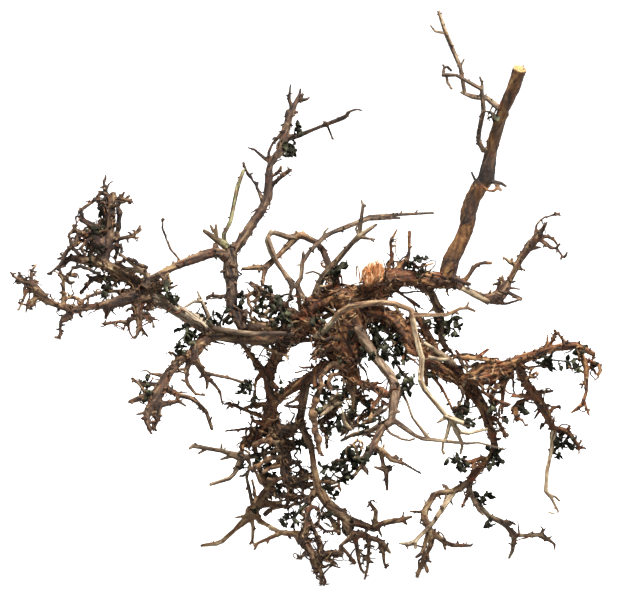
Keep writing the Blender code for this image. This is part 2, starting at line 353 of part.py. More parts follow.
LIMBS["green_twig"] = ("left_post", "bleached", [
    limb(22, 38, (-79, 331, 4), (-82, 338, 2.6), (-82, 346, 2.2), (-78.5, 352, 2), (-75.5, 359, 1.9), (-73.5, 368, 1.9),
         (-71, 378, 1.9), (-70, 386, 2), (-68.5, 394, 2.1), (-65.5, 402, 2), (-62, 411, 1.5)),
    twig(-12, (-79, 333, 4), (-85, 338, 3.2), (-91, 342, 2.9), (-97, 346.5, 2.6), (-103, 350, 1.5)),
    twig(-3, (-90, 342, 2.4), (-91, 350, 1.8), (-90, 356, 1)),
    twig(3, (-92, 348, 1.6), (-96, 355.5, 0.8)),
])
LIMBS["left_link_limb"] = ("left_post", "bark", [
    limb(20, -12, (-79, 322, 6), (-88, 327.5, 4.6), (-97, 326.5, 5), (-106, 323, 4.9), (-118, 317.8, 4),
         (-130, 313.8, 3.6), (-140, 309, 3), (-148, 306, 2.4), (-155, 302, 2.4)),
    twig(2, (-89, 329, 3), (-91, 335, 3), (-88, 338, 1.8)),
    twig(-10, (-126, 316, 1.8), (-128, 322, 1), (-135, 330, 1), (-137, 335, 0.9), (-140, 342, 0.9), (-143.5, 352, 1),
         (-142.5, 362, 0.7)),
    twig(-3, (-132, 314, 1.6), (-133, 320, 0.7)),
    twig(-5, (-140, 308, 2.6), (-139, 303, 2.2), (-135.5, 297, 1.3), (-132, 296, 0.8)),
])
LIMBS["brown_arch"] = ("crown_heart", "bark", [
    # the arching limb behind, from the crown over to the left
    limb(10, 12, (25, 290, 9, 4), (25, 300, 17, 3.3), (23, 315, 22, 3.3), (20, 322, 25, 3.2), (16, 331, 27, 3.1),
         (10, 337.5, 29, 2.9), (4, 341.5, 30, 3.1), (-4, 345, 30, 3.6), (-9, 344, 30, 3.8), (-14, 337.5, 29, 2.8),
         (-20, 332.5, 28, 2.7), (-25, 327, 27, 2.6), (-31, 321, 25, 2.3), (-36, 316, 23, 2.7), (-40, 313, 21, 3.4),
         (-42, 306, 18, 2.1), (-43, 299, 12, 1.9), (-44, 294, 6, 1.9)),
    twig(-2, (-41, 313, 2.4), (-50, 311.5, 1.7), (-58, 310.5, 1.5), (-65, 311, 1.6)),
    twig(0, (-44, 313, 1.4), (-49, 315.5, 0.8)),
    twig(-2, (-45, 312, 1.3), (-47.5, 306.5, 0.8)),
])
LIMBS["pale_arch"] = ("brown_arch", "bleached", [
    limb(29, 4, (-11, 343, 4), (-18, 343, 2.6), (-25, 345.5, 2.4), (-31, 347.5, 2.3), (-35, 347, 2.2),
         (-38, 342.5, 2), (-36, 336, 1.8), (-33, 328, 1.6), (-29.5, 320, 1.5), (-25.5, 312.5, 1.6),
         (-22, 306, 1.9), (-18, 300, 2.4)),
])
LIMBS["long_top_twig"] = ("crown_heart", "twig", [
    # the long thin twig that leans over the top
    limb(8, 40, (-5, 270, 8, 3), (-7, 280, 6, 2), (-9, 289, 5, 1.9), (-9, 296, 4, 2.6), (-5, 302, 4, 2.2),
         (-4.5, 310, 5, 2.2), (-3.5, 318, 6, 2.2), (-1, 323, 7, 2.2), (4, 329, 9, 2), (11, 335.5, 12, 2.2),
         (18, 343, 16, 2.5), (26, 347.5, 20, 2.1), (36, 351.5, 24, 1.8), (48, 356, 29, 1.8), (56, 359.5, 32, 2),
         (64, 362.5, 34, 2.6), (76, 364.5, 37, 1.6), (92, 365.6, 40, 1.3), (107, 366.8, 43, 1.4),
         (120, 367.3, 46, 1.7), (127, 367.3, 47, 1)),
    twig(2, (62, 361, 1.6), (72, 360.8, 1.2), (84, 361.5, 1), (94.5, 362.3, 0.9)),
    twig(-2, (18, 343, 1.6), (18.5, 348, 0.9), (22.5, 352.5, 0.7)),
    twig(-1, (-3, 320, 1.4), (-3, 328, 0.8)),
    twig(-4, (-9, 294, 2.6), (-14, 294, 2.8), (-18, 300, 1.8), (-19, 302, 1.4)),
    twig(-3, (-14, 293, 2.2), (-16, 286, 1.2), (-17, 281, 0.9)),
    twig(-8, (-8, 292, 1.6), (-4, 284, 1.2), (0, 280, 1)),
])
LIMBS["top_fork_twig"] = ("crown_heart", "twig", [
    limb(4, -22, (11, 284, 5), (13, 296, 3.4), (18, 305, 3.3), (24, 312, 3.2), (31, 320, 2.7), (39, 329, 2.5),
         (46, 337, 2.2), (53, 343.5, 2.8), (59, 348.5, 1.7), (65, 352.5, 1.3), (71, 356, 1)),
    twig(-6, (53, 344, 2.2), (53, 352, 1.5), (54.5, 361, 1.3), (56.5, 370, 1.2), (57, 375, 1.6), (55, 380, 0.7)),
    twig(0, (56.8, 374.5, 1.2), (60, 374, 1)),
    twig(-1, (53, 345, 1.4), (49.5, 351, 0.7)),
    twig(-2, (54, 343.5, 2.2), (59.5, 344, 1.2)),
    twig(-5, (55, 342.5, 1.4), (64, 342, 0.9), (69, 340.5, 0.7)),
    twig(-12, (14, 298, 3), (18, 302, 2.2), (23, 301, 2), (25, 296.5, 1.6), (21, 293.5, 1.4), (14, 293.5, 1.2)),
    twig(6, (16, 302, 2.4), (13, 306, 1), (7, 308.5, 0.8), (-0.5, 306.5, 0.8)),
])
LIMBS["left_bar"] = ("left_shoulder", "bleached", [
    # the stripped, weathered limb that runs up to the left
    limb(3, -18, (-98, 251.5, 7), (-107, 257, 6.2), (-117, 262.5, 6), (-128, 269, 5.8), (-138, 275, 5.8),
         (-147, 280, 6.4), (-156, 286, 8)),
    twig(-2, (-96, 250, 5), (-96, 260, 2.6), (-100, 269, 2.2), (-103, 278, 2.1), (-106, 284, 1.2), (-109, 290, 0.8)),
    twig(-4, (-104, 279, 1.8), (-112, 278.5, 1.1), (-118, 275, 0.9), (-125, 270.5, 0.8)),
])
LIMBS["left_knot_limb"] = ("left_bar", "bark", [
    # the limb beyond the knot, out to the far left
    limb(-18, -44, (-154, 285, 8.5), (-164, 286, 8.5), (-174, 284, 7), (-184, 280.5, 6), (-193, 276.5, 5),
         (-201, 275, 3.6), (-210, 273.8, 2.9), (-219, 273, 3.8), (-228, 270.8, 3.7), (-236, 271.5, 4),
         (-245, 273.5, 2.8), (-252, 276, 3), (-259, 279.5, 3.6), (-264.5, 284, 5), (-268.5, 289, 4.8),
         (-273, 294.5, 4.4), (-278, 297.5, 2.6), (-284, 297.5, 1.8), (-291, 299, 0.9)),
    twig(-6, (-279, 298, 2), (-287, 300.5, 1.5), (-291, 303, 1.2), (-295.5, 308.5, 0.8)),
    twig(2, (-280, 298, 2), (-284, 302, 1.6), (-287.5, 308, 0.8)),
    twig(8, (-274, 296, 2.4), (-273.5, 303, 1.4), (-274, 308.5, 1.4), (-269, 315.5, 0.9)),
    twig(-6, (-274, 292, 2.4), (-279, 287.5, 1.6), (-282, 280, 1.3), (-284, 274, 1.2), (-287, 269, 0.7)),
    twig(-1, (-277, 297, 1.8), (-281.5, 291, 1.2), (-281, 286, 1.2)),
    twig(-8, (-268, 284, 3.4), (-272, 279.5, 2.8), (-277, 278, 1.8), (-279, 272, 1.4), (-279.5, 266.5, 0.8)),
    twig(-3, (-271, 280, 2.2), (-275, 275, 1.9), (-276, 271.5, 1.1)),
    twig(-4, (-242, 272.5, 2.6), (-243, 280, 1.7), (-242.5, 290, 1.6), (-242, 300, 1.6), (-247, 306, 1.1)),
    twig(-3, (-235, 270, 4.5), (-236, 264.5, 4), (-240, 261, 2.6), (-245, 257.5, 1.8), (-245.5, 250, 1.4),
         (-244.5, 244, 1.3), (-245.5, 240, 1.1)),
    twig(-1, (-238, 264, 2.2), (-243, 264.5, 1.3), (-245, 258, 1.2)),
    twig(2, (-196, 275, 4), (-198.5, 269, 2), (-200, 264, 1.4), (-200.5, 260.5, 1.1)),
    twig(9, (-243, 275, 2.2), (-240, 281.5, 1.6), (-234, 283, 1.8), (-228, 281.5, 1.8), (-224, 277, 2.4)),
    twig(10, (-224, 275, 2.2), (-222, 280.5, 1.3), (-215, 284.5, 1.3), (-209, 287, 1.5), (-202, 288, 1.9),
         (-192, 289, 1.8), (-180, 288, 2.6), (-170, 290, 4)),
    twig(-5, (-166, 283, 6), (-168, 275, 5.4), (-167, 267, 4.4), (-166, 259, 2.8), (-166, 252, 2.2), (-168, 247, 1.4),
         (-170, 242, 1.2)),
    twig(3, (-165.5, 253, 1.7), (-162, 247, 1.1), (-157.5, 243, 0.8)),
    twig(-4, (-165, 266, 3), (-158, 262.5, 1.8), (-150, 262, 1.1)),
    twig(-2, (-160, 263, 1.4), (-154, 256, 1.1)),
    twig(-6, (-168, 265, 3), (-174, 261, 1.8), (-179, 258, 2), (-188, 258.5, 1.3), (-196, 257, 1.2), (-205, 256, 1.1)),
    twig(-1, (-178, 257.5, 1.5), (-176.5, 249, 0.8)),
    twig(-1, (-180, 257.5, 1.3), (-182, 250.5, 0.8)),
    twig(2, (-159, 271, 3.4), (-156, 273, 3), (-151, 278, 2.4)),
    twig(-4, (-158, 290, 6), (-150, 294, 5), (-143, 297, 3.4), (-138, 302, 1.6)),
])
LIMBS["tangle_limb"] = ("left_knot_limb", "bark", [
    # the stripped limb and the tangle of short shoots at the upper left
    limb(-18, -14, (-158, 291, 6), (-166, 295, 5.4), (-174, 299.5, 5.6), (-186, 306, 5.6), (-197, 312.5, 5.8),
         (-206, 318, 5.6), (-214, 319.5, 5), (-222, 320, 4.2), (-230, 322, 3.2), (-236, 322, 3), (-241, 318, 3),
         (-244, 313.5, 2.4)),
    twig(12, (-203, 318, 6), (-202, 327, 6.6), (-199, 337, 5.4), (-196, 347, 4.6), (-194.8, 357, 4.8),
         (-195.8, 367, 5.4), (-195.8, 375, 4.8), (-194.5, 382, 3.8), (-192.5, 388, 2.4)),
    twig(4, (-197, 376, 3), (-199, 385, 2.6), (-201, 392, 1.6), (-202.8, 400, 1)),
    twig(2, (-200, 390, 1.4), (-197, 396, 0.8), (-193, 399, 0.7)),
    twig(-6, (-194, 379, 2.6), (-187, 382, 1.6), (-181, 380, 2.3), (-174.5, 379, 1.6)),
    twig(-2, (-185, 382, 1.6), (-182.5, 385, 1.4), (-181, 388.5, 0.9)),
    twig(-9, (-197, 338, 3.4), (-190, 340.5, 2), (-182, 342, 1.8), (-175, 343.5, 2), (-169, 348.5, 1.4),
         (-163.5, 350.8, 1)),
    twig(-1, (-169, 348, 1.3), (-165, 355, 1.1)),
    twig(-2, (-175, 343.5, 1.5), (-170, 341.5, 1), (-166.5, 342.5, 0.8)),
    twig(-4, (-198, 331, 3.6), (-191, 333.5, 2.2), (-189.5, 337, 1.2)),
    twig(-12, (-198, 384, 2.4), (-205, 387.5, 2.2), (-210, 380.5, 1.5), (-217, 375.2, 1.4), (-224, 370.5, 1.6),
         (-225, 364, 1.7), (-225.5, 361, 2.2), (-220, 357.2, 1.8), (-214, 354.5, 2.4), (-208, 352, 3)),
    twig(-4, (-199, 370, 4), (-204, 376, 2), (-208.5, 379.5, 1.6), (-205, 382.5, 1.3)),
    twig(4, (-198, 341, 3.6), (-202, 349, 2.2), (-207.5, 357.5, 1.3)),
    twig(-10, (-203, 333, 6), (-210, 338, 6.4), (-213, 346, 5.2), (-221, 347, 4), (-228, 347.5, 2.2), (-232, 354, 1.3)),
    twig(-6, (-228, 349.5, 1.4), (-233, 350, 1.2), (-236.5, 345, 1.2), (-236.5, 340, 1.3), (-234, 333, 1.6),
         (-230, 329, 1.7), (-226, 325, 1.8)),
    twig(-4, (-227, 345, 2), (-228.5, 339.5, 2.4), (-235, 332, 1.7), (-240, 327, 2), (-242, 321, 1.8),
         (-245, 315, 1.7), (-249, 311, 1.9), (-253, 309.5, 1.8), (-257, 305.5, 0.8)),
    twig(-3, (-247, 312, 1.5), (-244, 306, 1.2), (-240, 301, 1.2), (-235, 296.5, 1.3)),
    twig(0, (-241, 302.5, 1.2), (-236, 305, 1.6), (-228, 303, 1.2)),
    twig(-1, (-227, 321, 1.8), (-229, 314, 0.9)),
    twig(0, (-206, 332, 5), (-213, 330, 3), (-218, 335, 2.4)),
    twig(10, (-180, 302, 4), (-189, 300.5, 2.6), (-198, 302.5, 2.6), (-206, 303, 2.6), (-213, 301.5, 2.1),
         (-218, 296, 1.6), (-222, 290, 1.7), (-226, 286, 1.3)),
    twig(0, (-206, 303, 2), (-207, 299, 1.4), (-203, 297.5, 1)),
    twig(-3, (-190, 300.5, 2.2), (-190.5, 295, 1.7), (-197.5, 294, 1.2)),
    twig(2, (-213, 301.5, 1.8), (-217, 304, 0.8), (-220.5, 305.5, 0.7)),
])
LIMBS["tangle_shoots"] = ("tangle_limb", "twig", [
    limb(-28, -32, (-161, 293, 5), (-157, 300, 3), (-161, 307, 2.8), (-168, 313, 2.2), (-177, 318, 1.9),
         (-182, 324, 1.4), (-187, 327, 1)),
    twig(6, (-164, 309, 2.4), (-172, 309, 2.2), (-180, 311, 1.9), (-186, 314, 1.7), (-190, 318, 1.2)),
    twig(-4, (-158, 300, 2.8), (-152, 304, 2.4), (-146, 306, 2)),
    twig(2, (-159, 296, 2.6), (-150, 299, 2.8), (-143, 297, 2.8), (-136, 293, 1.8), (-132, 292, 0.8)),
])
LIMBS["lower_left_limb"] = ("left_shoulder", "bark", [
    # the forked limb that drops from the left bar
    limb(6, -52, (-96, 245, 7), (-104, 238, 6), (-110, 229, 5.4), (-119, 223, 5), (-127, 219.5, 4.2), (-133, 212, 4),
         (-138, 205, 4.4), (-142, 198, 5), (-146, 191, 5.4), (-148, 184, 5), (-150, 177, 5.4), (-155, 173.5, 4.6),
         (-158.5, 166, 3.6), (-159, 158, 2.5), (-156, 151.5, 2), (-154, 148, 1.5)),
    twig(-4, (-148, 178, 4.4), (-147.5, 168, 2.9), (-148.5, 161, 2.6), (-151, 154, 2.2), (-153, 149.5, 1.6)),
    twig(0, (-159, 158, 1.5), (-153, 157.5, 1.3), (-149.5, 158.5, 1.4)),
    twig(-8, (-146, 192, 3.6), (-152, 188, 2.5), (-158, 185, 2.8), (-163, 182.5, 3.2), (-169, 181, 2.5),
         (-173, 178.5, 2), (-178, 178, 1.5)),
    twig(2, (-150, 180, 3.6), (-156, 180, 3), (-161, 182, 2.6)),
    twig(-3, (-159, 185.5, 1.7), (-163, 191, 1.4), (-166, 195.5, 1.2), (-170, 200, 1.1), (-174, 203, 1.1)),
    twig(3, (-146, 195.5, 2.2), (-155, 196.5, 1.3), (-160, 196.5, 2), (-162, 199, 1.6)),
    twig(-5, (-139, 204, 2.2), (-145, 205.5, 1.2), (-155, 206.5, 1.1), (-159, 210, 0.8), (-166, 208.5, 0.7)),
    twig(-2, (-158, 168, 1.8), (-170, 165.5, 0.6)),
    twig(-2, (-159, 163, 1.6), (-165, 162, 0.8)),
    twig(3, (-128, 222, 2), (-133, 227, 1.3), (-137, 228, 1.2)),
    twig(14, (-142, 193, 4), (-135, 189.5, 2.7), (-128, 185.5, 2.3), (-121, 182.7, 2.1), (-115, 182, 2.2),
         (-110, 179, 2.2), (-105, 173.5, 2.1), (-99, 167, 2), (-96.5, 160, 1.8), (-94.5, 153, 2), (-93.5, 149.5, 1.8)),
    twig(6, (-148, 175, 3.6), (-140, 176, 2.7), (-133, 178, 2.1), (-127, 179, 1.8), (-119, 173.5, 0.9)),
    twig(1, (-128, 178.5, 1.6), (-128, 184, 1.6)),
    twig(0, (-119, 183, 1.6), (-117, 185, 1.2)),
])
LIMBS["lower_left_twig"] = ("lower_left_limb", "bark", [
    limb(-2, 16, (-107, 235, -2, 4.6), (-111.5, 228, -11, 3.6), (-111, 221, -14, 3.8), (-107, 214, -10, 2.9),
         (-102, 206, -4, 2.6), (-97, 200.5, 2, 2), (-91, 195, 7, 1.6), (-86, 188.5, 11, 1.3), (-85.5, 180, 14, 0.8),
         (-83.5, 174.5, 16, 0.7)),
    twig(3, (-100, 204, 2.2), (-98.5, 196, 1.6), (-99.5, 190, 1)),
    twig(-1, (-102, 206, 1.8), (-106, 202, 1)),
    twig(-2, (-107, 214, 1.8), (-100, 212, 0.7)),
    twig(22, (-101, 207, 1.8), (-90, 205, 1.1), (-77, 202, 1.3), (-68, 199, 1.2), (-62, 197, 1.3)),
    twig(-3, (-112, 225, 3.4), (-117, 218, 3.4), (-118.5, 211, 2.4), (-119.5, 203, 1.6), (-118, 196, 2),
         (-115, 191, 1.8), (-110, 186, 1.4), (-100, 185, 1.1)),
    twig(-2, (-118.5, 211, 1.6), (-131, 210.5, 0.7)),
    twig(-2, (-119, 198, 1.4), (-125.5, 200.5, 0.8)),
])
LIMBS["inner_left_limb"] = ("left_shoulder", "bark", [
    # the limb that goes down and back from the left shoulder
    limb(13, 58, (-20, 245, 7), (-24, 234, 6), (-29, 226, 5.4), (-33, 216, 5), (-36, 206, 4.8), (-38, 197, 4.2),
         (-37.5, 188, 4.2), (-35.5, 180, 5), (-34, 172, 5), (-35, 162, 5.2), (-39, 154, 5), (-44, 148.5, 4.8),
         (-50, 143.5, 4.6), (-56, 140, 5), (-60, 133, 4.6)),
    twig(-20, (-34, 176, 5), (-29, 181, 4.8), (-22, 187, 4.3), (-14, 192, 4.4), (-6, 197, 4.8), (3, 202, 5.2),
         (12, 207, 4.4), (20, 211, 4), (27, 216, 4)),
    twig(-18, (-39, 201, 3.4), (-43, 207, 3), (-47, 212.5, 2.8), (-52, 219, 2.2), (-58, 229, 2.3), (-64, 236, 2),
         (-70, 240, 2)),
    twig(-12, (-40, 207, 2.6), (-44, 213, 1.8), (-49, 220, 1.4)),
    twig(-10, (-37, 199, 3), (-31, 194, 1.8), (-27, 191, 1.5)),
    twig(6, (-45, 208, 1.9), (-50, 200, 1.6), (-51, 192, 1), (-50.5, 184, 0.9), (-48, 180.5, 0.8)),
    twig(4, (-36, 162, 3), (-44, 163, 1.9), (-52, 166.5, 1.8), (-62, 170.5, 1.6), (-70, 173, 1.5), (-76, 176, 1.4),
         (-81, 176.5, 1.4)),
    twig(5, (-34, 176, 3), (-46, 175.5, 1.6), (-52, 175, 1.8), (-62, 171.5, 1.4)),
    twig(-4, (-39, 176, 1.6), (-41.5, 168, 1.4), (-41, 161, 1.3)),
    twig(-6, (-40, 155, 3), (-47, 157, 2.3), (-53, 159, 1.7), (-55.5, 164.5, 0.9)),
    twig(8, (-44, 149.5, 2.4), (-50, 150, 1.7), (-60, 151, 1.4), (-72, 150, 1.1), (-82, 148.5, 0.9)),
    twig(-8, (-56, 141, 4), (-62, 138, 3), (-65, 133, 2.4), (-63, 128, 2.4)),
])
LIMBS["dark_post"] = ("inner_left_limb", "bark", [
    # the thick dark limb that goes down behind the middle
    limb(50, 38, (-35, 158, 5.4), (-30, 150, 6), (-26, 142, 6), (-22.5, 134, 6), (-21.5, 125, 6), (-22, 115, 5.4),
         (-21, 106, 5), (-18, 99, 4.4), (-15.5, 92, 3.6), (-14, 85, 2.6)),
    twig(-22, (-29, 152, 5), (-20, 150.5, 4.2), (-12, 153, 3.6), (-7, 157, 3.4)),
    twig(-4, (-22, 138, 3.2), (-13, 137.5, 1.7), (-9, 137, 1.5)),
    twig(-2, (-24, 144, 3), (-18, 145, 1.7), (-12.5, 145, 0.9)),
    twig(-6, (-20, 134, 2.4), (-14, 130, 1.7), (-11, 133.5, 1)),
    twig(-10, (-20, 119, 2.4), (-12, 118.5, 1.8), (-7, 115, 1.6), (-4, 110, 1.5), (-3.5, 104, 1.6), (-7, 100.5, 1.6)),
    twig(0, (-4, 110, 1.1), (0, 111, 0.8)),
    twig(-18, (-19, 102, 4), (-12, 99.5, 3.4), (-5, 99.5, 2.5), (1, 102, 1.8), (7, 105, 1.5)),
    twig(-16, (-15, 94, 3), (-8, 94, 2.4), (2, 94, 1.8), (9, 95, 1.5)),
    twig(14, (-15, 86, 2.8), (-22, 83.5, 2.2), (-30, 84, 2.2), (-36, 88, 2.6)),
    twig(-17, (-14, 86, 2.6), (-9, 83, 2), (0, 82, 1.9), (8, 83, 1.8)),
    twig(-3, (-16, 85, 2.4), (-14, 79.5, 1.9), (-9, 79, 1.7), (-7, 76, 0.8)),
    twig(0, (-18, 84, 2), (-18, 76, 1.5), (-18.5, 71.5, 0.8)),
])
LIMBS["left_pale_leg"] = ("inner_left_limb", "bleached", [
    limb(56, 72, (-57, 140, 3.4), (-52, 134, 2.5), (-49, 126, 2.5), (-48, 117, 2.4), (-46, 109, 2.5), (-43, 101, 2.7),
         (-39, 95, 4), (-36, 90, 4.6)),
    twig(16, (-36, 92, 4.4), (-40, 87, 5), (-45, 80, 5), (-50, 73, 5.4), (-55, 67, 5.6), (-60, 60, 4), (-66, 55, 2.6),
         (-72, 49, 2.1), (-78, 43.5, 1.9), (-84, 38, 2.2), (-90, 35.5, 2.3), (-98, 34, 1.7), (-107, 33.3, 1.2)),
    twig(-4, (-37, 91, 4.4), (-34, 98, 4.6), (-31, 105, 3)),
    twig(0, (-48, 76, 4.6), (-40, 76, 4), (-32, 75, 3), (-24, 77, 2.6)),
    twig(4, (-55, 62, 3), (-53, 52, 2), (-53.5, 44, 1.6), (-54, 38, 1.4), (-57, 34.5, 1.1)),
    twig(-48, (-51, 65, 4), (-46, 58, 2.9), (-39, 54.5, 1.9), (-33, 50.5, 2.1), (-26, 47, 2.4), (-20, 45.5, 2.3),
         (-12, 46, 3), (-4, 45, 4)),
    twig(6, (-26, 46, 2.3), (-35, 42.5, 1.6), (-42, 38.5, 1.6), (-48, 35.5, 1.7), (-54, 34, 1.1)),
    twig(1, (-49, 35.5, 1.3), (-52, 29, 0.9)),
    twig(0, (-37, 42, 1.3), (-39, 35.5, 1.1)),
    twig(-4, (-58, 64, 2), (-65, 63, 1), (-72, 61.5, 0.7)),
    twig(-3, (-56, 70, 3.4), (-61, 68.5, 1.2)),
])
LIMBS["left_cross_twig"] = ("left_pale_leg", "twig", [
    limb(52, 30, (-49, 124, 2.8), (-57, 123, 2.2), (-64, 122, 4), (-70, 123.5, 3.6), (-77, 126, 2.5), (-85, 129, 1.9),
         (-95, 131, 1.8), (-104, 132, 1.6), (-113, 134, 2), (-117, 131, 1)),
    twig(-2, (-112, 134, 1.5), (-110, 136.5, 0.9)),
    twig(-2, (-99, 131, 1.3), (-108, 126, 0.8)),
    twig(0, (-85, 129.5, 1.2), (-84.5, 136, 0.7)),
    twig(-2, (-74, 124, 2), (-79, 121.5, 1.1), (-86, 120, 0.8)),
    twig(-6, (-65, 120, 3.4), (-68, 113, 2.2), (-72, 106, 2), (-77, 101, 2), (-84, 98, 2), (-90, 96.5, 2.1), (-97, 95, 1.5)),
    twig(10, (-59, 122, 2.4), (-56, 115, 1.7), (-58, 109, 1.7), (-59.5, 102, 1.4), (-58.5, 95, 1.5), (-56, 88, 2),
         (-55, 82, 2.2), (-54, 76, 2)),
    twig(-3, (-58, 107, 1.4), (-63, 103.5, 1.1), (-67, 103.5, 0.8)),
    twig(-14, (-50, 124, 2.4), (-42, 126, 1.5), (-33, 128, 1.2), (-26, 130, 1.1)),
])
LIMBS["low_centre_limb"] = ("inner_left_limb", "bark", [
    # the limb from the middle down to the ground
    limb(32, 12, (0, 200, 5.2), (-1, 191, 4.8), (-3, 181, 4.2), (-5, 171, 3.6), (-5.5, 161, 3.4), (-3, 151, 3.5),
         (1, 141, 3.6), (5, 133, 3.2), (7, 122, 2.9), (8.5, 110, 2.9), (10, 100, 3.4), (11.5, 92, 4.4), (17, 84, 4.8),
         (22, 76, 5.2), (28, 71, 4.9), (34, 66, 4.3), (42, 60, 4.6), (50, 57, 4), (58, 54, 3), (66, 52, 2.8),
         (72, 53.5, 3.1), (78, 57, 2.9), (86, 59, 2.7), (95, 60, 2.7), (103, 62, 2.3), (107.5, 64, 1.1)),
    twig(-3, (69, 53, 2.8), (70, 62, 2.6), (70, 69, 2.4), (67, 73, 1.8), (61, 79.5, 0.7)),
    twig(0, (72, 52, 1.6), (76, 42.5, 0.7)),
    twig(-3, (28, 72, 2), (41, 70, 0.8)),
    twig(2, (96, 60, 1.4), (98, 69, 0.7)),
    twig(0, (97, 59, 1.6), (101.5, 55.5, 1.1)),
    twig(0, (40, 59, 4), (41, 50, 5.4), (44, 46, 5)),
    twig(-20, (-4, 174, 2.2), (-12, 173, 1.8), (-22, 174.5, 1.3)),
    twig(-4, (-1, 186, 2.4), (-7, 184, 1.6), (-12, 179, 1.3), (-20, 175.5, 1)),
    twig(-5, (10, 90, 3.4), (4, 82, 3), (2, 75, 2.8)),
])
LIMBS["low_centre_legs"] = ("low_centre_limb", "bark", [
    limb(12, 17, (45, 46, 4.6), (52, 45.5, 3.6), (58, 45, 3.2), (62, 41, 2.6), (63, 35, 1.9), (62, 28, 1.6),
         (62, 20, 1.6), (61.5, 12, 1.4), (60, 7, 1.7), (58.5, 0, 0.8)),
    twig(-4, (49, 45, 2.8), (49.5, 36, 1.8), (51, 27, 1.7), (53, 18, 1.6), (55, 11, 1.5), (58.5, 7, 1.3)),
    twig(-10, (46, 43, 3), (40, 39, 2), (35, 35, 1.6), (36, 29, 1.2), (36.5, 21.5, 0.8)),
    twig(1, (36, 33, 1.4), (40, 29, 1.3), (45, 23, 1.6), (50, 16, 1.6)),
    twig(-1, (62, 24, 1.3), (57.5, 22.5, 1), (57, 16, 0.8)),
    twig(8, (60, 43, 2.8), (66, 41, 2), (72, 40, 2.6), (77, 36, 3.2), (82, 31, 2.3), (85, 26, 0.9)),
    twig(1, (77, 34, 2.2), (78, 25, 1.5), (78, 18, 1.4), (80.5, 11, 1.2)),
    twig(0, (74, 38, 1.6), (73, 30, 1)),
])
LIMBS["low_left_limb"] = ("low_centre_limb", "bark", [
    # the crooked limb that ends in the lowest tip
    limb(6, 0, (2, 73, 3), (2, 64, 3.2), (1, 55, 3.8), (-2, 47, 5), (-3, 40, 4.6), (1, 33, 4), (6, 27, 3.6),
         (9, 21, 3.8), (9, 16, 3), (12, 11, 2.2), (15, 8, 2.2), (16.5, 1, 1.5), (17.3, -5.4, 0.8)),
    twig(-6, (2, 62, 2.4), (8, 52, 1.8), (10, 46, 2), (13, 40, 2.3), (13, 34, 2.2), (13, 28, 2), (15, 22, 2.3),
         (16, 14, 1.4)),
    twig(-4, (5, 26, 2), (-3, 24.5, 1.2), (-10, 21, 0.7)),
    twig(-3, (14, 24, 2.4), (20, 26, 3), (26, 26.5, 2.6), (33, 25, 1.5)),
    twig(-1, (14, 22, 2), (26, 20, 1.4), (32, 15, 0.8)),
    twig(1, (2, 70, 2.6), (10, 74, 1.6), (14, 66, 1.5), (12, 56, 1.7), (19, 49, 1.2), (30, 49, 1)),
])

# dead leaves, each spray one piece with its own short twig
LIMBS["leaves_bar"] = ("crown_bar", "leaf", [
    twig(-8, (106, 306, 2.4), (108, 312, 1), (106, 318, 0.8), (110, 321, 0.7)),
    blade(-3, 20, (107, 317, 0.8), (112, 318, 2.6), (117, 316, 0.6)),
    blade(1, -30, (108, 313, 0.8), (114, 312, 2.4), (119, 310, 0.6)),
    blade(-3, 40, (107, 320, 0.8), (104, 323, 2), (101, 322, 0.6)),
    blade(-2, 10, (110, 321, 0.8), (116, 322, 2.2), (121, 319, 0.6)),
    blade(2, 60, (107, 312, 0.8), (102, 312, 2), (98, 310, 0.6)),
])
LIMBS["leaves_crown"] = ("crown_heart", "leaf", [
    twig(-6, (70, 262, 5), (70, 254, 1.4), (72, 246, 1.2), (77, 239, 1.1), (84, 233, 1), (89, 226, 0.9),
         (91, 219, 0.8)),
    blade(-4, 15, (70, 256, 1), (63, 258, 3.2), (58, 254, 0.7)),
    blade(-2, -25, (71, 250, 1), (64, 247, 3), (60, 242, 0.7)),
    blade(3, 35, (71, 250, 1), (77, 252, 2.6), (82, 257, 0.7)),
    blade(-5, 10, (74, 243, 1), (68, 239, 3), (63, 240, 0.7)),
    blade(2, -40, (77, 239, 1), (84, 242, 3), (90, 245, 0.7)),
    blade(-3, 20, (79, 237, 1), (72, 231, 3), (66, 232, 0.7)),
    blade(4, 30, (84, 233, 1), (90, 237, 2.8), (97, 236, 0.7)),
    blade(-4, -20, (85, 232, 1), (80, 225, 3), (75, 222, 0.7)),
    blade(2, 15, (88, 227, 1), (94, 229, 2.6), (99, 226, 0.7)),
    blade(-2, 50, (90, 222, 1), (87, 216, 2.6), (88, 210, 0.7)),
])
LIMBS["leaves_top"] = ("top_fork_twig", "leaf", [
    twig(-4, (20, 307, 2.4), (24, 306.5, 1.2), (28, 308, 1)),
    blade(-3, 15, (24, 306.5, 1), (31, 310.5, 3.6), (39.5, 314, 1.4)),
    blade(1, -40, (27, 308, 1), (30, 303, 2.2), (29, 299, 0.6)),
])
LIMBS["leaves_post"] = ("back_post", "leaf", [
    twig(-8, (135, 256, 2.4), (139, 254.5, 1), (144, 253, 0.9), (149, 250, 0.8)),
    blade(-3, 10, (138, 254.5, 0.8), (133, 252, 4), (126, 253, 0.8)),
    blade(-2, 30, (143, 253, 0.8), (145, 259, 3), (146, 264, 0.7)),
    blade(1, -20, (147, 251.5, 0.8), (151, 254, 2.8), (155, 255, 0.7)),
    blade(-1, 20, (145, 252.5, 0.8), (142, 247, 2.6), (138, 244, 0.7)),
    blade(-2, -45, (148, 250.5, 0.8), (150, 246, 2.4), (149, 242, 0.6)),
])
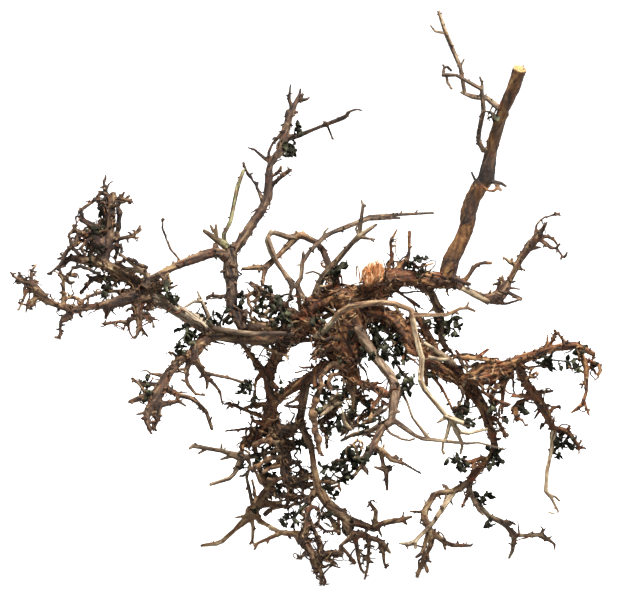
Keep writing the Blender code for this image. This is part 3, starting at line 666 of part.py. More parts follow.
LIMBS["leaves_arm"] = ("right_arm", "leaf", [
    twig(-9, (232, 226, 2.4), (238, 222.5, 1), (247, 220, 0.9), (256, 220, 0.9), (266, 218, 0.8), (272, 213, 0.7)),
    blade(-2, 15, (239, 222, 0.8), (236, 218, 2.4), (233, 213, 0.6)),
    blade(2, -30, (245, 220.5, 0.8), (246, 215, 2.6), (245, 209.5, 0.6)),
    blade(-2, 25, (252, 220, 0.8), (253, 215, 2.6), (256, 211, 0.6)),
    blade(1, -15, (258, 219.8, 0.8), (261, 216, 2.4), (262, 211, 0.6)),
    blade(-2, 40, (264, 218.4, 0.8), (268, 220, 2.2), (272, 222, 0.6)),
])
LIMBS["leaves_hanging"] = ("hanging_twig", "leaf", [
    twig(3, (245.5, 128, 1.9), (250, 131, 1), (255, 134, 0.9), (259, 139, 0.8)),
    blade(-2, 10, (252, 132, 0.8), (254, 126.5, 2.8), (252, 121.5, 0.6)),
    blade(2, -25, (254, 133.5, 0.8), (260, 132, 2.8), (265, 134, 0.6)),
    blade(-2, 30, (257, 136, 0.8), (254, 140.5, 2.8), (251, 144, 0.6)),
    blade(1, -10, (258.5, 138.5, 0.8), (262, 142, 2.6), (262, 147, 0.6)),
])
LIMBS["leaves_descender"] = ("right_descender", "leaf", [
    twig(-10, (184, 123, 2.6), (187, 121, 1.1), (190, 121, 1), (194, 123, 0.8)),
    blade(-2, 10, (187, 121, 0.9), (184, 129, 3.2), (181, 134, 0.7)),
    blade(1, -30, (189, 121, 0.9), (191, 127.5, 3), (196, 131, 0.7)),
    blade(-3, 25, (188, 121, 0.9), (187, 116, 2.8), (182, 113, 0.7)),
    blade(2, -20, (191, 121.5, 0.9), (195, 118, 2.6), (198, 115, 0.6)),
])
LIMBS["leaves_right_foot"] = ("right_foot_rear", "leaf", [
    twig(-4, (174, 73, 2.4), (176, 79, 1), (177, 84, 0.8)),
    blade(-2, 15, (175.5, 77.5, 0.9), (171, 82, 2.6), (169, 87, 0.6)),
    blade(1, -25, (176.5, 82, 0.9), (181, 85, 2.4), (183, 90, 0.6)),
])
LIMBS["leaves_knee"] = ("knee_foot", "leaf", [
    twig(4, (46, 102, 1.5), (41, 105, 1.1), (34, 110, 1), (27, 111, 1), (20, 115.5, 0.9), (15, 114, 0.8)),
    blade(-3, 15, (41, 105, 0.9), (46, 110, 3), (47, 116, 0.7)),
    blade(1, -20, (38, 107, 0.9), (35, 101.5, 3.2), (30, 97, 0.7)),
    blade(-3, 30, (34, 110, 0.9), (36, 116.5, 3), (33, 122, 0.7)),
    blade(2, -10, (31, 110.5, 0.9), (26, 105, 3.2), (24, 99, 0.7)),
    blade(-2, 20, (27, 111, 0.9), (26, 117, 2.6), (24, 121, 0.6)),
    blade(1, -35, (22, 114, 0.9), (17, 109, 2.2), (13, 107, 0.6)),
])
LIMBS["leaves_middle"] = ("centre_limb", "leaf", [
    twig(-8, (20, 172, 2.4), (18, 178, 1.1), (19, 184, 1), (22, 190, 0.8)),
    blade(-2, 15, (18, 178, 0.9), (12, 181, 3), (8, 185, 0.7)),
    blade(1, -25, (18.5, 181, 0.9), (25, 181, 3), (29, 178, 0.7)),
    blade(-2, 30, (19, 184.5, 0.9), (15, 189, 2.8), (16, 194, 0.7)),
    blade(2, -10, (21, 188.5, 0.9), (26, 192, 2.6), (28, 197, 0.7)),
])
LIMBS["leaves_middle_low"] = ("centre_limb", "leaf", [
    twig(-6, (20, 150, 1.9), (25, 151.5, 1.1), (30, 154, 0.9)),
    blade(-2, 10, (25, 151.5, 0.9), (30, 158.5, 3.4), (35, 162, 0.7)),
    blade(1, -25, (28, 153, 0.9), (34, 152, 3.2), (39, 154.5, 0.7)),
])
LIMBS["leaves_left_low"] = ("dark_post", "leaf", [
    twig(-8, (-10, 137, 1.6), (-6, 136.5, 1), (-3, 135, 0.8)),
    blade(-1, 10, (-7, 136.5, 0.9), (-1, 137, 4), (3, 131, 1.2)),
    blade(1, -40, (-6, 136.5, 0.9), (-7, 131, 2.4), (-5, 127, 0.6)),
])
LIMBS["leaves_tuft"] = ("low_centre_limb", "leaf", [
    twig(-6, (3, 78, 2.6), (-3, 73, 1.3), (-8, 67, 1.1), (-13, 62.5, 1), (-19, 60, 0.9), (-24, 59, 0.8)),
    blade(-3, 10, (-11, 64, 0.9), (-15, 66.5, 2.6), (-18, 64, 0.6)),
    blade(1, -25, (-12, 63, 0.9), (-10, 58.5, 2.8), (-14, 54.5, 0.7)),
    blade(-3, 20, (-18, 60.5, 0.9), (-22, 64, 2.6), (-26, 62, 0.6)),
    blade(1, -15, (-19, 60, 0.9), (-20, 55, 3), (-24, 51.5, 0.7)),
    blade(-2, 30, (-23, 59, 0.9), (-27, 60.5, 2.4), (-30, 57, 0.6)),
])
LIMBS["leaves_left_shoulder"] = ("left_shoulder", "leaf", [
    twig(-14, (-26, 278, 2.6), (-26, 272, 1.2), (-24, 266, 1.1), (-21, 261, 0.9)),
    blade(-3, 12, (-26, 271, 0.9), (-32, 268, 3.8), (-37, 263, 0.8)),
    blade(1, -25, (-25, 268, 0.9), (-19, 268, 3), (-14, 265, 0.7)),
    blade(-3, 25, (-24, 266, 0.9), (-28, 261, 3), (-33, 258, 0.7)),
    blade(2, -10, (-22, 262.5, 0.9), (-17, 259, 2.8), (-13, 255, 0.7)),
])
LIMBS["leaves_bar_end"] = ("left_shoulder", "leaf", [
    twig(-10, (-86, 249, 3), (-86, 257, 1.2), (-84, 264, 1), (-81, 269, 0.8)),
    blade(-2, 10, (-86, 257, 0.9), (-92, 258.5, 3.4), (-96, 254, 0.8)),
    blade(1, -30, (-85.5, 260, 0.9), (-80, 258, 2.8), (-76, 255, 0.7)),
    blade(-2, 20, (-84, 264, 0.9), (-88, 267.5, 2.4), (-93, 268, 0.6)),
])
LIMBS["leaves_inner_left"] = ("lower_left_twig", "leaf", [
    twig(2, (-64, 197.5, 1.3), (-60, 195.5, 1), (-56, 194, 0.9)),
    blade(-2, 10, (-63, 197, 0.9), (-62, 192, 3.2), (-66, 189, 0.8)),
    blade(1, -20, (-60, 195.5, 0.9), (-57, 190.5, 3), (-55, 188, 0.8)),
    blade(-2, 25, (-58, 194.5, 0.9), (-56, 199.5, 2.6), (-59, 202, 0.7)),
])
LIMBS["leaves_left_bar"] = ("left_bar", "leaf", [
    twig(-9, (-118, 257, 4), (-119, 250, 1.2), (-121, 244, 1), (-126, 240, 0.8), (-127, 234, 0.7)),
    blade(-2, 10, (-119, 250, 0.9), (-124, 251.5, 3), (-127, 248, 0.7)),
    blade(1, -30, (-119.5, 248, 0.9), (-114, 246, 2.8), (-110, 243, 0.7)),
    blade(-2, 20, (-122, 243, 0.9), (-121, 238.5, 2.4), (-123, 235, 0.6)),
    blade(1, 30, (-126.5, 238, 0.8), (-129, 233, 2), (-128, 229, 0.6)),
])
LIMBS["leaves_upright"] = ("upright_limb", "leaf", [
    twig(-9, (-21, 434, 3), (-16, 436.5, 1.1), (-12, 434, 1), (-11.5, 430, 0.9)),
    blade(-2, 10, (-13.5, 435, 0.9), (-11, 438.5, 2), (-14, 441, 0.6)),
    blade(1, -20, (-11.6, 431, 0.9), (-13.5, 426.5, 2.4), (-18, 425, 0.7)),
    blade(-1, 40, (-14, 435.5, 0.9), (-15.5, 431, 1.8), (-18.5, 430, 0.6)),
])
LIMBS["leaf_far_left"] = ("tangle_shoots", "leaf", [
    twig(-4, (-142, 296.5, 2.4), (-140, 291, 1.1), (-138, 287, 0.9)),
    blade(-1, 8, (-139, 289, 0.9), (-134.5, 283, 4), (-133, 277, 1)),
])

SKETCH_TO_WORLD = (
    (1.0, 0.0, 0.0),
    (0.0, math.sin(LEAN), math.cos(LEAN)),
    (0.0, math.cos(LEAN), -math.sin(LEAN)),
)


def world(across, up, back):
    """The sketch frame tipped onto the ground."""
    return Vector([(row[0] * across + row[1] * up + row[2] * back) * MM for row in SKETCH_TO_WORLD])


def nearest_depth(across, up, placed):
    """The depth of the strand that passes nearest to a point of the sketch."""
    best, depth = 1e9, 0.0
    for strand in placed:
        for (ax, au, ab, ar), (bx, bu, bb, br) in zip(strand, strand[1:]):
            run = (bx - ax) ** 2 + (bu - au) ** 2 or 1e-9
            share = min(1.0, max(0.0, ((across - ax) * (bx - ax) + (up - au) * (bu - au)) / run))
            away = math.hypot(across - ax - share * (bx - ax), up - au - share * (bu - au))
            away -= 0.7 * (ar + share * (br - ar))
            if away < best:
                best, depth = away, ab + share * (bb - ab)
    return depth


def placed_strand(strand, placed):
    """The strand's points as (across, up, back, radius)."""
    points = strand["points"]
    first, last = points[0], points[-1]
    start = strand["start"]
    if start is None:
        start = nearest_depth(first[0], first[1], placed)
    if "rise" in strand:
        end = start + strand["rise"]
    elif strand["end"] is None:
        end = nearest_depth(last[0], last[1], placed)
    else:
        end = strand["end"]
    reach = [0.0]
    for a, b in zip(points, points[1:]):
        reach.append(reach[-1] + math.hypot(b[0] - a[0], b[1] - a[1]))
    known = [(r, p[2]) for r, p in zip(reach, points) if len(p) == 4]
    if not known or known[0][0] > 0:
        known.insert(0, (0.0, start))
    if known[-1][0] < reach[-1]:
        known.append((reach[-1], end))
    out = []
    for r, p in zip(reach, points):
        depth = known[-1][1]
        for (r0, d0), (r1, d1) in zip(known, known[1:]):
            if r0 <= r <= r1:
                depth = d0 + (d1 - d0) * (r - r0) / (r1 - r0)
                break
        out.append((p[0], p[1], depth, max(THINNEST, p[-1])))
    return out


def sides_for(radius):
    return 3 if radius < 1.85 else 4 if radius < 3.2 else 5 if radius < 5.5 else 6 if radius < 9 else 7


def thinned(points, slack=1.1):
    """The strand without the points that a straight taper between their neighbours already gives."""
    if len(points) < 3:
        return points
    first, last = points[0], points[-1]
    along = [0.0]
    for a, b in zip(points, points[1:]):
        along.append(along[-1] + math.dist(a[:3], b[:3]))
    worst, where = 0.0, 0
    for i in range(1, len(points) - 1):
        share = along[i] / (along[-1] or 1.0)
        line = [first[k] + share * (last[k] - first[k]) for k in range(4)]
        away = max(math.dist(points[i][:3], line[:3]), 1.4 * abs(points[i][3] - line[3]))
        if away > worst:
            worst, where = away, i
    if worst <= slack:
        return [first, last]
    return thinned(points[: where + 1], slack)[:-1] + thinned(points[where:], slack)


def tube_mesh(name, points, tilt=None, swell=0.0):
    """A closed tapered tube along the points; a leaf's section is a thin lozenge."""
    sides = 4 if tilt is not None else sides_for(max(p[3] for p in points))
    fill = 1.45 if tilt is not None else math.sqrt(2 * math.pi / (sides * math.sin(2 * math.pi / sides)))
    spots = [world(*p[:3]) for p in points]
    radii = [(p[3] * fill + swell) * MM for p in points]
    ways = []
    for i in range(len(spots)):
        a, b = spots[max(0, i - 1)], spots[min(len(spots) - 1, i + 1)]
        ways.append((b - a).normalized())
    if swell:
        spots[0] = spots[0] - ways[0] * swell * MM
        spots[-1] = spots[-1] + ways[-1] * swell * MM
    front = world(0, 0, -1)
    across = ways[0].cross(front)
    if across.length < 0.15:
        across = ways[0].cross(Vector((1, 0, 0)))
    across.normalize()
    verts, faces = [], []
    turn = math.radians(tilt or 0)
    for spot, way, radius in zip(spots, ways, radii):
        across = (across - way * across.dot(way)).normalized()
        up = way.cross(across)
        if tilt is not None:
            wide = across * math.cos(turn) + up * math.sin(turn)
            thin = way.cross(wide)
        for k in range(sides):
            angle = 2 * math.pi * (k + 0.5 * (tilt is None)) / sides
            if tilt is None:
                verts.append(spot + (across * math.cos(angle) + up * math.sin(angle)) * radius)
            else:
                half = min(radius, (0.55 + swell) * MM)
                verts.append(spot + wide * math.cos(angle) * radius + thin * math.sin(angle) * half)
    for i in range(len(spots) - 1):
        for k in range(sides):
            a, b = i * sides + k, i * sides + (k + 1) % sides
            faces.append((a, b, b + sides, a + sides))
    faces.append(tuple(range(sides))[::-1])
    faces.append(tuple((len(spots) - 1) * sides + k for k in range(sides)))
    mesh = bpy.data.meshes.new(name)
    mesh.from_pydata(verts, [], faces)
    body = bmesh.new()
    body.from_mesh(mesh)
    bmesh.ops.recalc_face_normals(body, faces=body.faces)
    bmesh.ops.triangulate(body, faces=body.faces)
    body.to_mesh(mesh)
    body.free()
    return mesh


def helper(name, mesh, collection):
    obj = bpy.data.objects.new(name, mesh)
    collection.objects.link(obj)
    obj.hide_render = True
    obj.display_type = "WIRE"
    return obj


def box_of(points):
    low = [min(p[i] - p[3] for p in points) - 1 for i in range(3)]
    high = [max(p[i] + p[3] for p in points) + 1 for i in range(3)]
    return low, high


def boxes_meet(one, other):
    return all(one[0][i] < other[1][i] and other[0][i] < one[1][i] for i in range(3))


def boolean(obj, operation, collection):
    step = obj.modifiers.new(operation.lower(), "BOOLEAN")
    step.operation = operation
    step.operand_type = "COLLECTION"
    step.collection = collection
    step.solver = "EXACT"
    step.use_self = False
    bpy.context.view_layer.update()
    shaped = bpy.data.meshes.new_from_object(obj.evaluated_get(bpy.context.evaluated_depsgraph_get()))
    obj.modifiers.clear()
    obj.data = shaped


def clear(collection):
    for obj in list(collection.objects):
        bpy.data.objects.remove(obj, do_unlink=True)


def keep_main_body(obj):
    """Drops crumbs that a cut left loose; says how much went."""
    body = bmesh.new()
    body.from_mesh(obj.data)
    bmesh.ops.remove_doubles(body, verts=body.verts, dist=2e-7)
    unseen, groups = set(body.verts), []
    while unseen:
        stack, group = [unseen.pop()], []
        while stack:
            vert = stack.pop()
            group.append(vert)
            for edge in vert.link_edges:
                other = edge.other_vert(vert)
                if other in unseen:
                    unseen.remove(other)
                    stack.append(other)
        groups.append(group)
    groups.sort(key=len, reverse=True)
    for group in groups[1:]:
        middle = sum((v.co for v in group), Vector()) / len(group)
        print("crumb", obj.name, len(group), [round(c / MM) for c in middle])
        bmesh.ops.delete(body, geom=group, context="VERTS")
    body.to_mesh(obj.data)
    body.free()


tools = bpy.data.collections.new("tools")
bpy.context.scene.collection.children.link(tools)
palette = {}
for name, colour, rough in (
    ("bark", (0.075, 0.042, 0.028, 1), 0.9),
    ("twig", (0.085, 0.055, 0.032, 1), 0.85),
    ("bleached", (0.42, 0.30, 0.19, 1), 0.8),
    ("heartwood", (0.50, 0.20, 0.07, 1), 0.85),
    ("leaf", (0.018, 0.024, 0.016, 1), 0.8),
):
    palette[name] = (colour, rough)

placed_by_node = OrderedDict()
for node, (host, bark, strands) in LIMBS.items():
    placed = []
    around = placed_by_node.get(host, [])
    for strand in strands:
        points = placed_strand(strand, placed + around)
        placed.append(points if "tilt" in strand else thinned(points))
    placed_by_node[node] = placed

finished = []
for node, (host, bark, strands) in LIMBS.items():
    placed = placed_by_node[node]
    meshes = []
    for number, (strand, points) in enumerate(zip(strands, placed)):
        meshes.append(tube_mesh(f"{node}.{number}", points, strand.get("tilt")))
    obj = bpy.data.objects.new(node, meshes[0])
    bpy.context.scene.collection.objects.link(obj)
    if len(meshes) > 1:
        for mesh in meshes[1:]:
            helper(mesh.name, mesh, tools)
        boolean(obj, "UNION", tools)
        clear(tools)
    mine = [box_of(points) for points in placed]
    for other, other_strands in finished:
        near = [(s, p) for s, p in other_strands if any(boxes_meet(box_of(p), box) for box in mine)]
        for number, (strand, points) in enumerate(near):
            mesh = tube_mesh(f"{other}.guard{number}", points, strand.get("tilt"), GAP)
            helper(mesh.name, mesh, tools)
    if tools.objects:
        boolean(obj, "DIFFERENCE", tools)
        clear(tools)
    keep_main_body(obj)
    finished.append((node, list(zip(strands, placed))))
    colour, rough = palette[bark]
    material = bpy.data.materials.new(f"{node}_{bark}")
    material.use_nodes = True
    shader = material.node_tree.nodes["Principled BSDF"]
    shader.inputs["Base Color"].default_value = colour
    shader.inputs["Roughness"].default_value = rough
    obj.data.materials.clear()
    obj.data.materials.append(material)

bpy.data.collections.remove(tools)
bpy.context.view_layer.update()
nodes = [bpy.data.objects[name] for name in LIMBS]
corners = [v.co for obj in nodes for v in obj.data.vertices]
low = Vector([min(c[i] for c in corners) for i in range(3)])
high = Vector([max(c[i] for c in corners) for i in range(3)])
shift = Vector((-(low.x + high.x) / 2, -(low.y + high.y) / 2, -low.z))
for obj in nodes:
    for vert in obj.data.vertices:
        vert.co += shift
total = sum(len(obj.data.polygons) for obj in nodes)
print("shift", [round(c / MM, 3) for c in shift], "faces", total, "nodes", len(nodes))
for obj in nodes:
    obj.data.calc_loop_triangles()
    print(obj.name, len(obj.data.loop_triangles))
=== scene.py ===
# Dried, uprooted desert shrub: rough bark, bare wood, thin twigs and dead leaves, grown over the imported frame.
# Lengths in the dictionaries are millimetres unless a note says otherwise.
import json
import math

import bmesh
import bpy
import numpy as np
from mathutils import Matrix, Vector
from mathutils.bvhtree import BVHTree
from mathutils.kdtree import KDTree


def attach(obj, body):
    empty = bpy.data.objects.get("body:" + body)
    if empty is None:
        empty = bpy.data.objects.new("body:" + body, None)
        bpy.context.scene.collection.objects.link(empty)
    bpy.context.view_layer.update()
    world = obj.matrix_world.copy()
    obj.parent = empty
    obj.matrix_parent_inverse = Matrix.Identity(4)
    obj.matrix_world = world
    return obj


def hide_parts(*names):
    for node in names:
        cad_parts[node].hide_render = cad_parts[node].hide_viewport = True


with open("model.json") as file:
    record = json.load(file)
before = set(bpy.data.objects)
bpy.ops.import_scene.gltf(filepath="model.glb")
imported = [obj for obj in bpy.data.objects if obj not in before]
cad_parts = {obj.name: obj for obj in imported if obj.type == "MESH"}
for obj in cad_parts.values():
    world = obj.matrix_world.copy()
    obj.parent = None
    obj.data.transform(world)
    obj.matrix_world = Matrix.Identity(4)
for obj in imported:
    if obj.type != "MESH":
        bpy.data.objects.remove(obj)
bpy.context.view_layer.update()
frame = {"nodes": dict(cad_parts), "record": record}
bpy.ops.object.select_all(action="DESELECT")
print("frame loaded,", len(frame["nodes"]), "nodes")

mm = 0.001

# the shrub leans back from the sheet it was sketched on; spot() turns a place on that sheet into a place in the room
sheet = {"lean": 15.0, "across": 0.651, "back": -77.494, "up": 5.517}


def spot(across, up, back):
    turn = math.radians(sheet["lean"])
    return Vector((
        across + sheet["across"],
        up * math.sin(turn) + back * math.cos(turn) + sheet["back"],
        up * math.cos(turn) - back * math.sin(turn) + sheet["up"],
    )) * mm


def onSheet(points):
    turn = math.radians(sheet["lean"])
    y = points[:, 1] / mm - sheet["back"]
    z = points[:, 2] / mm - sheet["up"]
    return np.column_stack((
        points[:, 0] / mm - sheet["across"],
        y * math.sin(turn) + z * math.cos(turn),
        y * math.cos(turn) - z * math.sin(turn),
    ))


# large odd numbers that scramble a corner of the noise grid into its value
noiseKeys = {
    "corner": (374761393, 668265263, 1442695041), "seed": 1274126177, "first": 1103515245, "second": 668265263,
}


def softNoise(points, cell, seed):
    # noise from -1 to 1 that is the same on every run; cell is the size of a lump
    grid = points / cell
    base = np.floor(grid).astype(np.int64)
    part = grid - base
    part = part * part * (3 - 2 * part)
    total = 0.0
    for corner in range(8):
        step = np.array([corner & 1, corner >> 1 & 1, corner >> 2 & 1])
        mixed = (base + step) @ np.array(noiseKeys["corner"]) + seed * noiseKeys["seed"]
        mixed = (mixed ^ (mixed >> 13)) * noiseKeys["first"] & 0xFFFFFFFF
        mixed = (mixed ^ (mixed >> 15)) * noiseKeys["second"] & 0xFFFFFFFF
        value = ((mixed ^ (mixed >> 16)) & 0xFFFF) / 32767.5 - 1.0
        weight = np.prod(np.where(step == 1, part, 1 - part), axis=1)
        total = total + value * weight
    return total


def addObject(name, data):
    piece = bpy.data.objects.new(name, data)
    bpy.context.scene.collection.objects.link(piece)
    return piece


def selectOnly(piece):
    bpy.ops.object.select_all(action="DESELECT")
    bpy.context.view_layer.objects.active = piece
    piece.select_set(True)


def settle(piece, slotName, node=None):
    # every piece rides on the one body, and one grown over a solid of the frame stands in for it
    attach(piece, "root")
    if node:
        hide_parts(node)


def colourOf(code):
    # an sRGB hex colour as linear light
    parts = [int(code[i:i + 2], 16) / 255 for i in (1, 3, 5)]
    return tuple(v / 12.92 if v <= 0.04045 else ((v + 0.055) / 1.055) ** 2.4 for v in parts) + (1.0,)


def addNode(tree, kind, settings=None, inputs=None):
    node = tree.nodes.new(kind)
    for key, value in (settings or {}).items():
        setattr(node, key, value)
    for key, value in (inputs or {}).items():
        socket = node.inputs[key]
        if isinstance(value, bpy.types.NodeSocket):
            tree.links.new(value, socket)
        else:
            socket.default_value = value
    return node


def setRamp(node, stops):
    ramp = node.color_ramp
    while len(ramp.elements) < len(stops):
        ramp.elements.new(0.5)
    for element, (place, code) in zip(ramp.elements, stops):
        element.position = place
        element.color = colourOf(code)


def startMaterial(name):
    material = bpy.data.materials.new(name)
    material.use_nodes = True
    tree = material.node_tree
    tree.nodes.clear()
    output = addNode(tree, "ShaderNodeOutputMaterial")
    shader = addNode(tree, "ShaderNodeBsdfPrincipled", None, {"Roughness": 0.8})
    tree.links.new(shader.outputs[0], output.inputs[0])
    return material, tree, shader


# how the patterns of wood mix, as shares of their noise; the bump's height is in metres
woodMix = {
    "fleckShare": 0.7, "tintFrom": 0.52, "tintTo": 0.72, "deepFrom": 0.15, "deepTo": 0.8,
    "streakHeight": 0.6, "bumpHeight": 0.0006,
}


def woodMaterial(name, look):
    # streaks run along the grain; patches show a second set of tones, worn bark and, on the stem, painted highlight; a
    # dark tone goes into hollows and grooves as painted shade, and into random spots on the thin shoots
    material, tree, shader = startMaterial(name)
    place = addNode(tree, "ShaderNodeTexCoord").outputs["Object"]
    streak, patch, hollow = (
        addNode(tree, "ShaderNodeAttribute", {"attribute_name": part}).outputs["Fac"]
        for part in ("streak", "patch", "hollow")
    )
    grit = addNode(tree, "ShaderNodeTexNoise", None, {
        "Vector": place, "Scale": 1000 / look["grit"], "Detail": 4.0, "Roughness": 0.6,
    })
    fleck = addNode(tree, "ShaderNodeTexNoise", None, {
        "Vector": place, "Scale": 1000 / look["fleck"], "Detail": 3.0,
    })
    shaken = addNode(tree, "ShaderNodeMath", {"operation": "MULTIPLY_ADD"}, {
        0: grit.outputs["Fac"], 1: look["shake"], 2: streak,
    })
    lined = addNode(tree, "ShaderNodeMath", {"operation": "SUBTRACT"}, {0: shaken.outputs[0], 1: look["shake"] / 2})
    along = addNode(tree, "ShaderNodeValToRGB", None, {"Fac": lined.outputs[0]})
    setRamp(along, look["streaks"])
    second = addNode(tree, "ShaderNodeValToRGB", None, {"Fac": lined.outputs[0]})
    setRamp(second, look["worn"])
    shifted = addNode(tree, "ShaderNodeMath", {"operation": "MULTIPLY_ADD"}, {
        0: fleck.outputs["Fac"], 1: woodMix["fleckShare"], 2: patch,
    })
    worn = addNode(tree, "ShaderNodeMapRange", {"interpolation_type": "SMOOTHSTEP"}, {
        "Value": shifted.outputs[0], "From Min": look["wornFrom"], "From Max": look["wornTo"],
    })
    blend = addNode(tree, "ShaderNodeMix", {"data_type": "RGBA"}, {
        0: worn.outputs[0], 6: along.outputs[0], 7: second.outputs[0],
    })
    tinted = addNode(tree, "ShaderNodeMapRange", {"interpolation_type": "SMOOTHSTEP"}, {
        "Value": fleck.outputs["Fac"], "From Min": woodMix["tintFrom"], "From Max": woodMix["tintTo"],
        "To Max": look["tintShare"],
    })
    warm = addNode(tree, "ShaderNodeMix", {"data_type": "RGBA"}, {
        0: tinted.outputs[0], 6: blend.outputs[2], 7: colourOf(look["tint"]),
    })
    # painted shade: the dark tone is mixed in where the limb's hollows and grooves are, and at random spots on thin
    # shoots
    deep = addNode(tree, "ShaderNodeMapRange", {"interpolation_type": "SMOOTHSTEP"}, {
        "Value": hollow, "From Min": woodMix["deepFrom"], "From Max": woodMix["deepTo"], "To Max": look["deepShare"],
    })
    final = addNode(tree, "ShaderNodeMix", {"data_type": "RGBA"}, {
        0: deep.outputs[0], 6: warm.outputs[2], 7: colourOf(look["deep"]),
    })
    tree.links.new(final.outputs[2], shader.inputs["Base Color"])
    rough = addNode(tree, "ShaderNodeMapRange", None, {
        "Value": lined.outputs[0], "To Min": look["rough"][0], "To Max": look["rough"][1],
    })
    tree.links.new(rough.outputs[0], shader.inputs["Roughness"])
    height = addNode(tree, "ShaderNodeMath", {"operation": "MULTIPLY_ADD"}, {
        0: streak, 1: woodMix["streakHeight"], 2: grit.outputs["Fac"],
    })
    bump = addNode(tree, "ShaderNodeBump", None, {
        "Strength": look["bump"], "Distance": woodMix["bumpHeight"], "Height": height.outputs[0],
    })
    tree.links.new(bump.outputs[0], shader.inputs["Normal"])
    return material


# Bark of an old limb: dead, dry, split lengthwise, so it is matt, with dark cracks between brown ridges that the sun
# has faded to tan. Grit about 1 mm, flecks where a flake has come off about 7 mm.
oldBark = woodMaterial("oldShrubBarkWeathered", {
    "streaks": ((0.1, "#19110c"), (0.38, "#39271b"), (0.6, "#624732"), (0.9, "#a88a64")),
    "worn": ((0.1, "#261a11"), (0.4, "#674a31"), (0.65, "#9c7f59"), (0.95, "#d6bd92")),
    "wornFrom": 0.85, "wornTo": 1.25, "tint": "#70360f", "tintShare": 0.5, "deep": "#19120d", "deepShare": 0.85,
    "grit": 1.0, "fleck": 7.0, "shake": 0.5, "bump": 0.7, "rough": (0.95, 0.75),
})
# The same bark where iron-red inner bark shows through it: warmer, with rust-brown flecks. Grit about 1 mm.
rustBark = woodMaterial("shrubBarkRusty", {
    "streaks": ((0.1, "#1b120c"), (0.38, "#422817"), (0.6, "#714626"), (0.9, "#b98a58")),
    "worn": ((0.1, "#2a1a10"), (0.4, "#734a2a"), (0.65, "#a87c4e"), (0.95, "#dcbb86")),
    "wornFrom": 0.85, "wornTo": 1.25, "tint": "#7c3511", "tintShare": 0.7, "deep": "#19120d", "deepShare": 0.85,
    "grit": 1.0, "fleck": 7.0, "shake": 0.5, "bump": 0.7, "rough": (0.95, 0.75),
})
# The darkest bark, a darker copy of the old bark: black-brown with dull ridges. On the left post it is painted shade
# for the shoulder's shade.
darkBark = woodMaterial("shrubBarkBlackened", {
    "streaks": ((0.1, "#0e0906"), (0.38, "#281a12"), (0.6, "#4b3525"), (0.9, "#8a6e4f")),
    "worn": ((0.1, "#1e140d"), (0.4, "#523a27"), (0.65, "#866a4a"), (0.95, "#c5aa80")),
    "wornFrom": 0.95, "wornTo": 1.3, "tint": "#5d2d10", "tintShare": 0.45, "deep": "#0c0806", "deepShare": 0.9,
    "grit": 1.0, "fleck": 6.0, "shake": 0.5, "bump": 0.8, "rough": (0.95, 0.75),
})
# Bark of the sawn stem: thicker and smoother, grey-brown, with tan patches spread along the grain by noise that are
# painted highlight for the light on the stem.
stemBark = woodMaterial("stemBarkRubbed", {
    "streaks": ((0.1, "#1b110b"), (0.4, "#3a2619"), (0.6, "#523826"), (0.9, "#75573b")),
    # the tan second tones here are painted highlight
    "worn": ((0.1, "#472b17"), (0.4, "#714a29"), (0.65, "#91683a"), (0.95, "#b98f5a")),
    "wornFrom": 0.7, "wornTo": 1.05, "tint": "#7a3d22", "tintShare": 0.6, "deep": "#140e0b", "deepShare": 0.85,
    "grit": 1.2, "fleck": 11.0, "shake": 0.4, "bump": 0.6, "rough": (0.92, 0.7),
})
# Bark of young twigs: thin and smooth, brown-grey, with little relief.
twigBark = woodMaterial("youngTwigBark", {
    "streaks": ((0.1, "#17110c"), (0.4, "#3a2c20"), (0.6, "#574330"), (0.9, "#856d50")),
    "worn": ((0.1, "#2f231a"), (0.4, "#6c563e"), (0.65, "#998062"), (0.95, "#c6b08c")),
    "wornFrom": 0.7, "wornTo": 1.1, "tint": "#74401f", "tintShare": 0.4, "deep": "#17110d", "deepShare": 0.8,
    "grit": 0.8, "fleck": 5.0, "shake": 0.4, "bump": 0.4, "rough": (0.9, 0.7),
})
# Bare wood with its bark gone, bleached by sun: cream to tan, with grey-brown lines along the grain, drier and
# duller than cut wood.
bareWood = woodMaterial("bareWoodSunBleached", {
    "streaks": ((0.08, "#553f2e"), (0.35, "#967f62"), (0.58, "#c2ac88"), (0.9, "#e8dabb")),
    "worn": ((0.1, "#2c1c13"), (0.4, "#6a4c33"), (0.65, "#9a7a57"), (0.95, "#cbb08a")),
    "wornFrom": 0.85, "wornTo": 1.2, "tint": "#a8703f", "tintShare": 0.25, "deep": "#2a1c13", "deepShare": 0.85,
    "grit": 0.8, "fleck": 6.0, "shake": 0.35, "bump": 0.5, "rough": (0.85, 0.65),
})
# Skin of rootlets: thin and rubbed, lighter and warmer than the old bark, straw to rust.
rootletBark = woodMaterial("rootletSkin", {
    "streaks": ((0.1, "#2a190f"), (0.4, "#6b4a30"), (0.6, "#a07c55"), (0.9, "#d4b588")),
    "worn": ((0.1, "#38241a"), (0.4, "#8c6a48"), (0.65, "#bd9f75"), (0.95, "#e6d1aa")),
    "wornFrom": 0.8, "wornTo": 1.15, "tint": "#7e3a18", "tintShare": 0.6, "deep": "#15100c", "deepShare": 0.9,
    "grit": 0.8, "fleck": 5.0, "shake": 0.4, "bump": 0.4, "rough": (0.9, 0.7),
})
# Bark of a live shoot that has only just dried: smooth and thin, olive green going brown at the buds.
greenBark = woodMaterial("dryingGreenBark", {
    "streaks": ((0.1, "#211c10"), (0.4, "#4b452b"), (0.6, "#79724b"), (0.9, "#aca277")),
    "worn": ((0.1, "#20160f"), (0.4, "#4d3926"), (0.65, "#7c6342"), (0.95, "#a98f66")),
    "wornFrom": 0.8, "wornTo": 1.1, "tint": "#3a2a1b", "tintShare": 0.7, "deep": "#15110b", "deepShare": 0.8,
    "grit": 0.8, "fleck": 6.0, "shake": 0.35, "bump": 0.35, "rough": (0.85, 0.6),
})
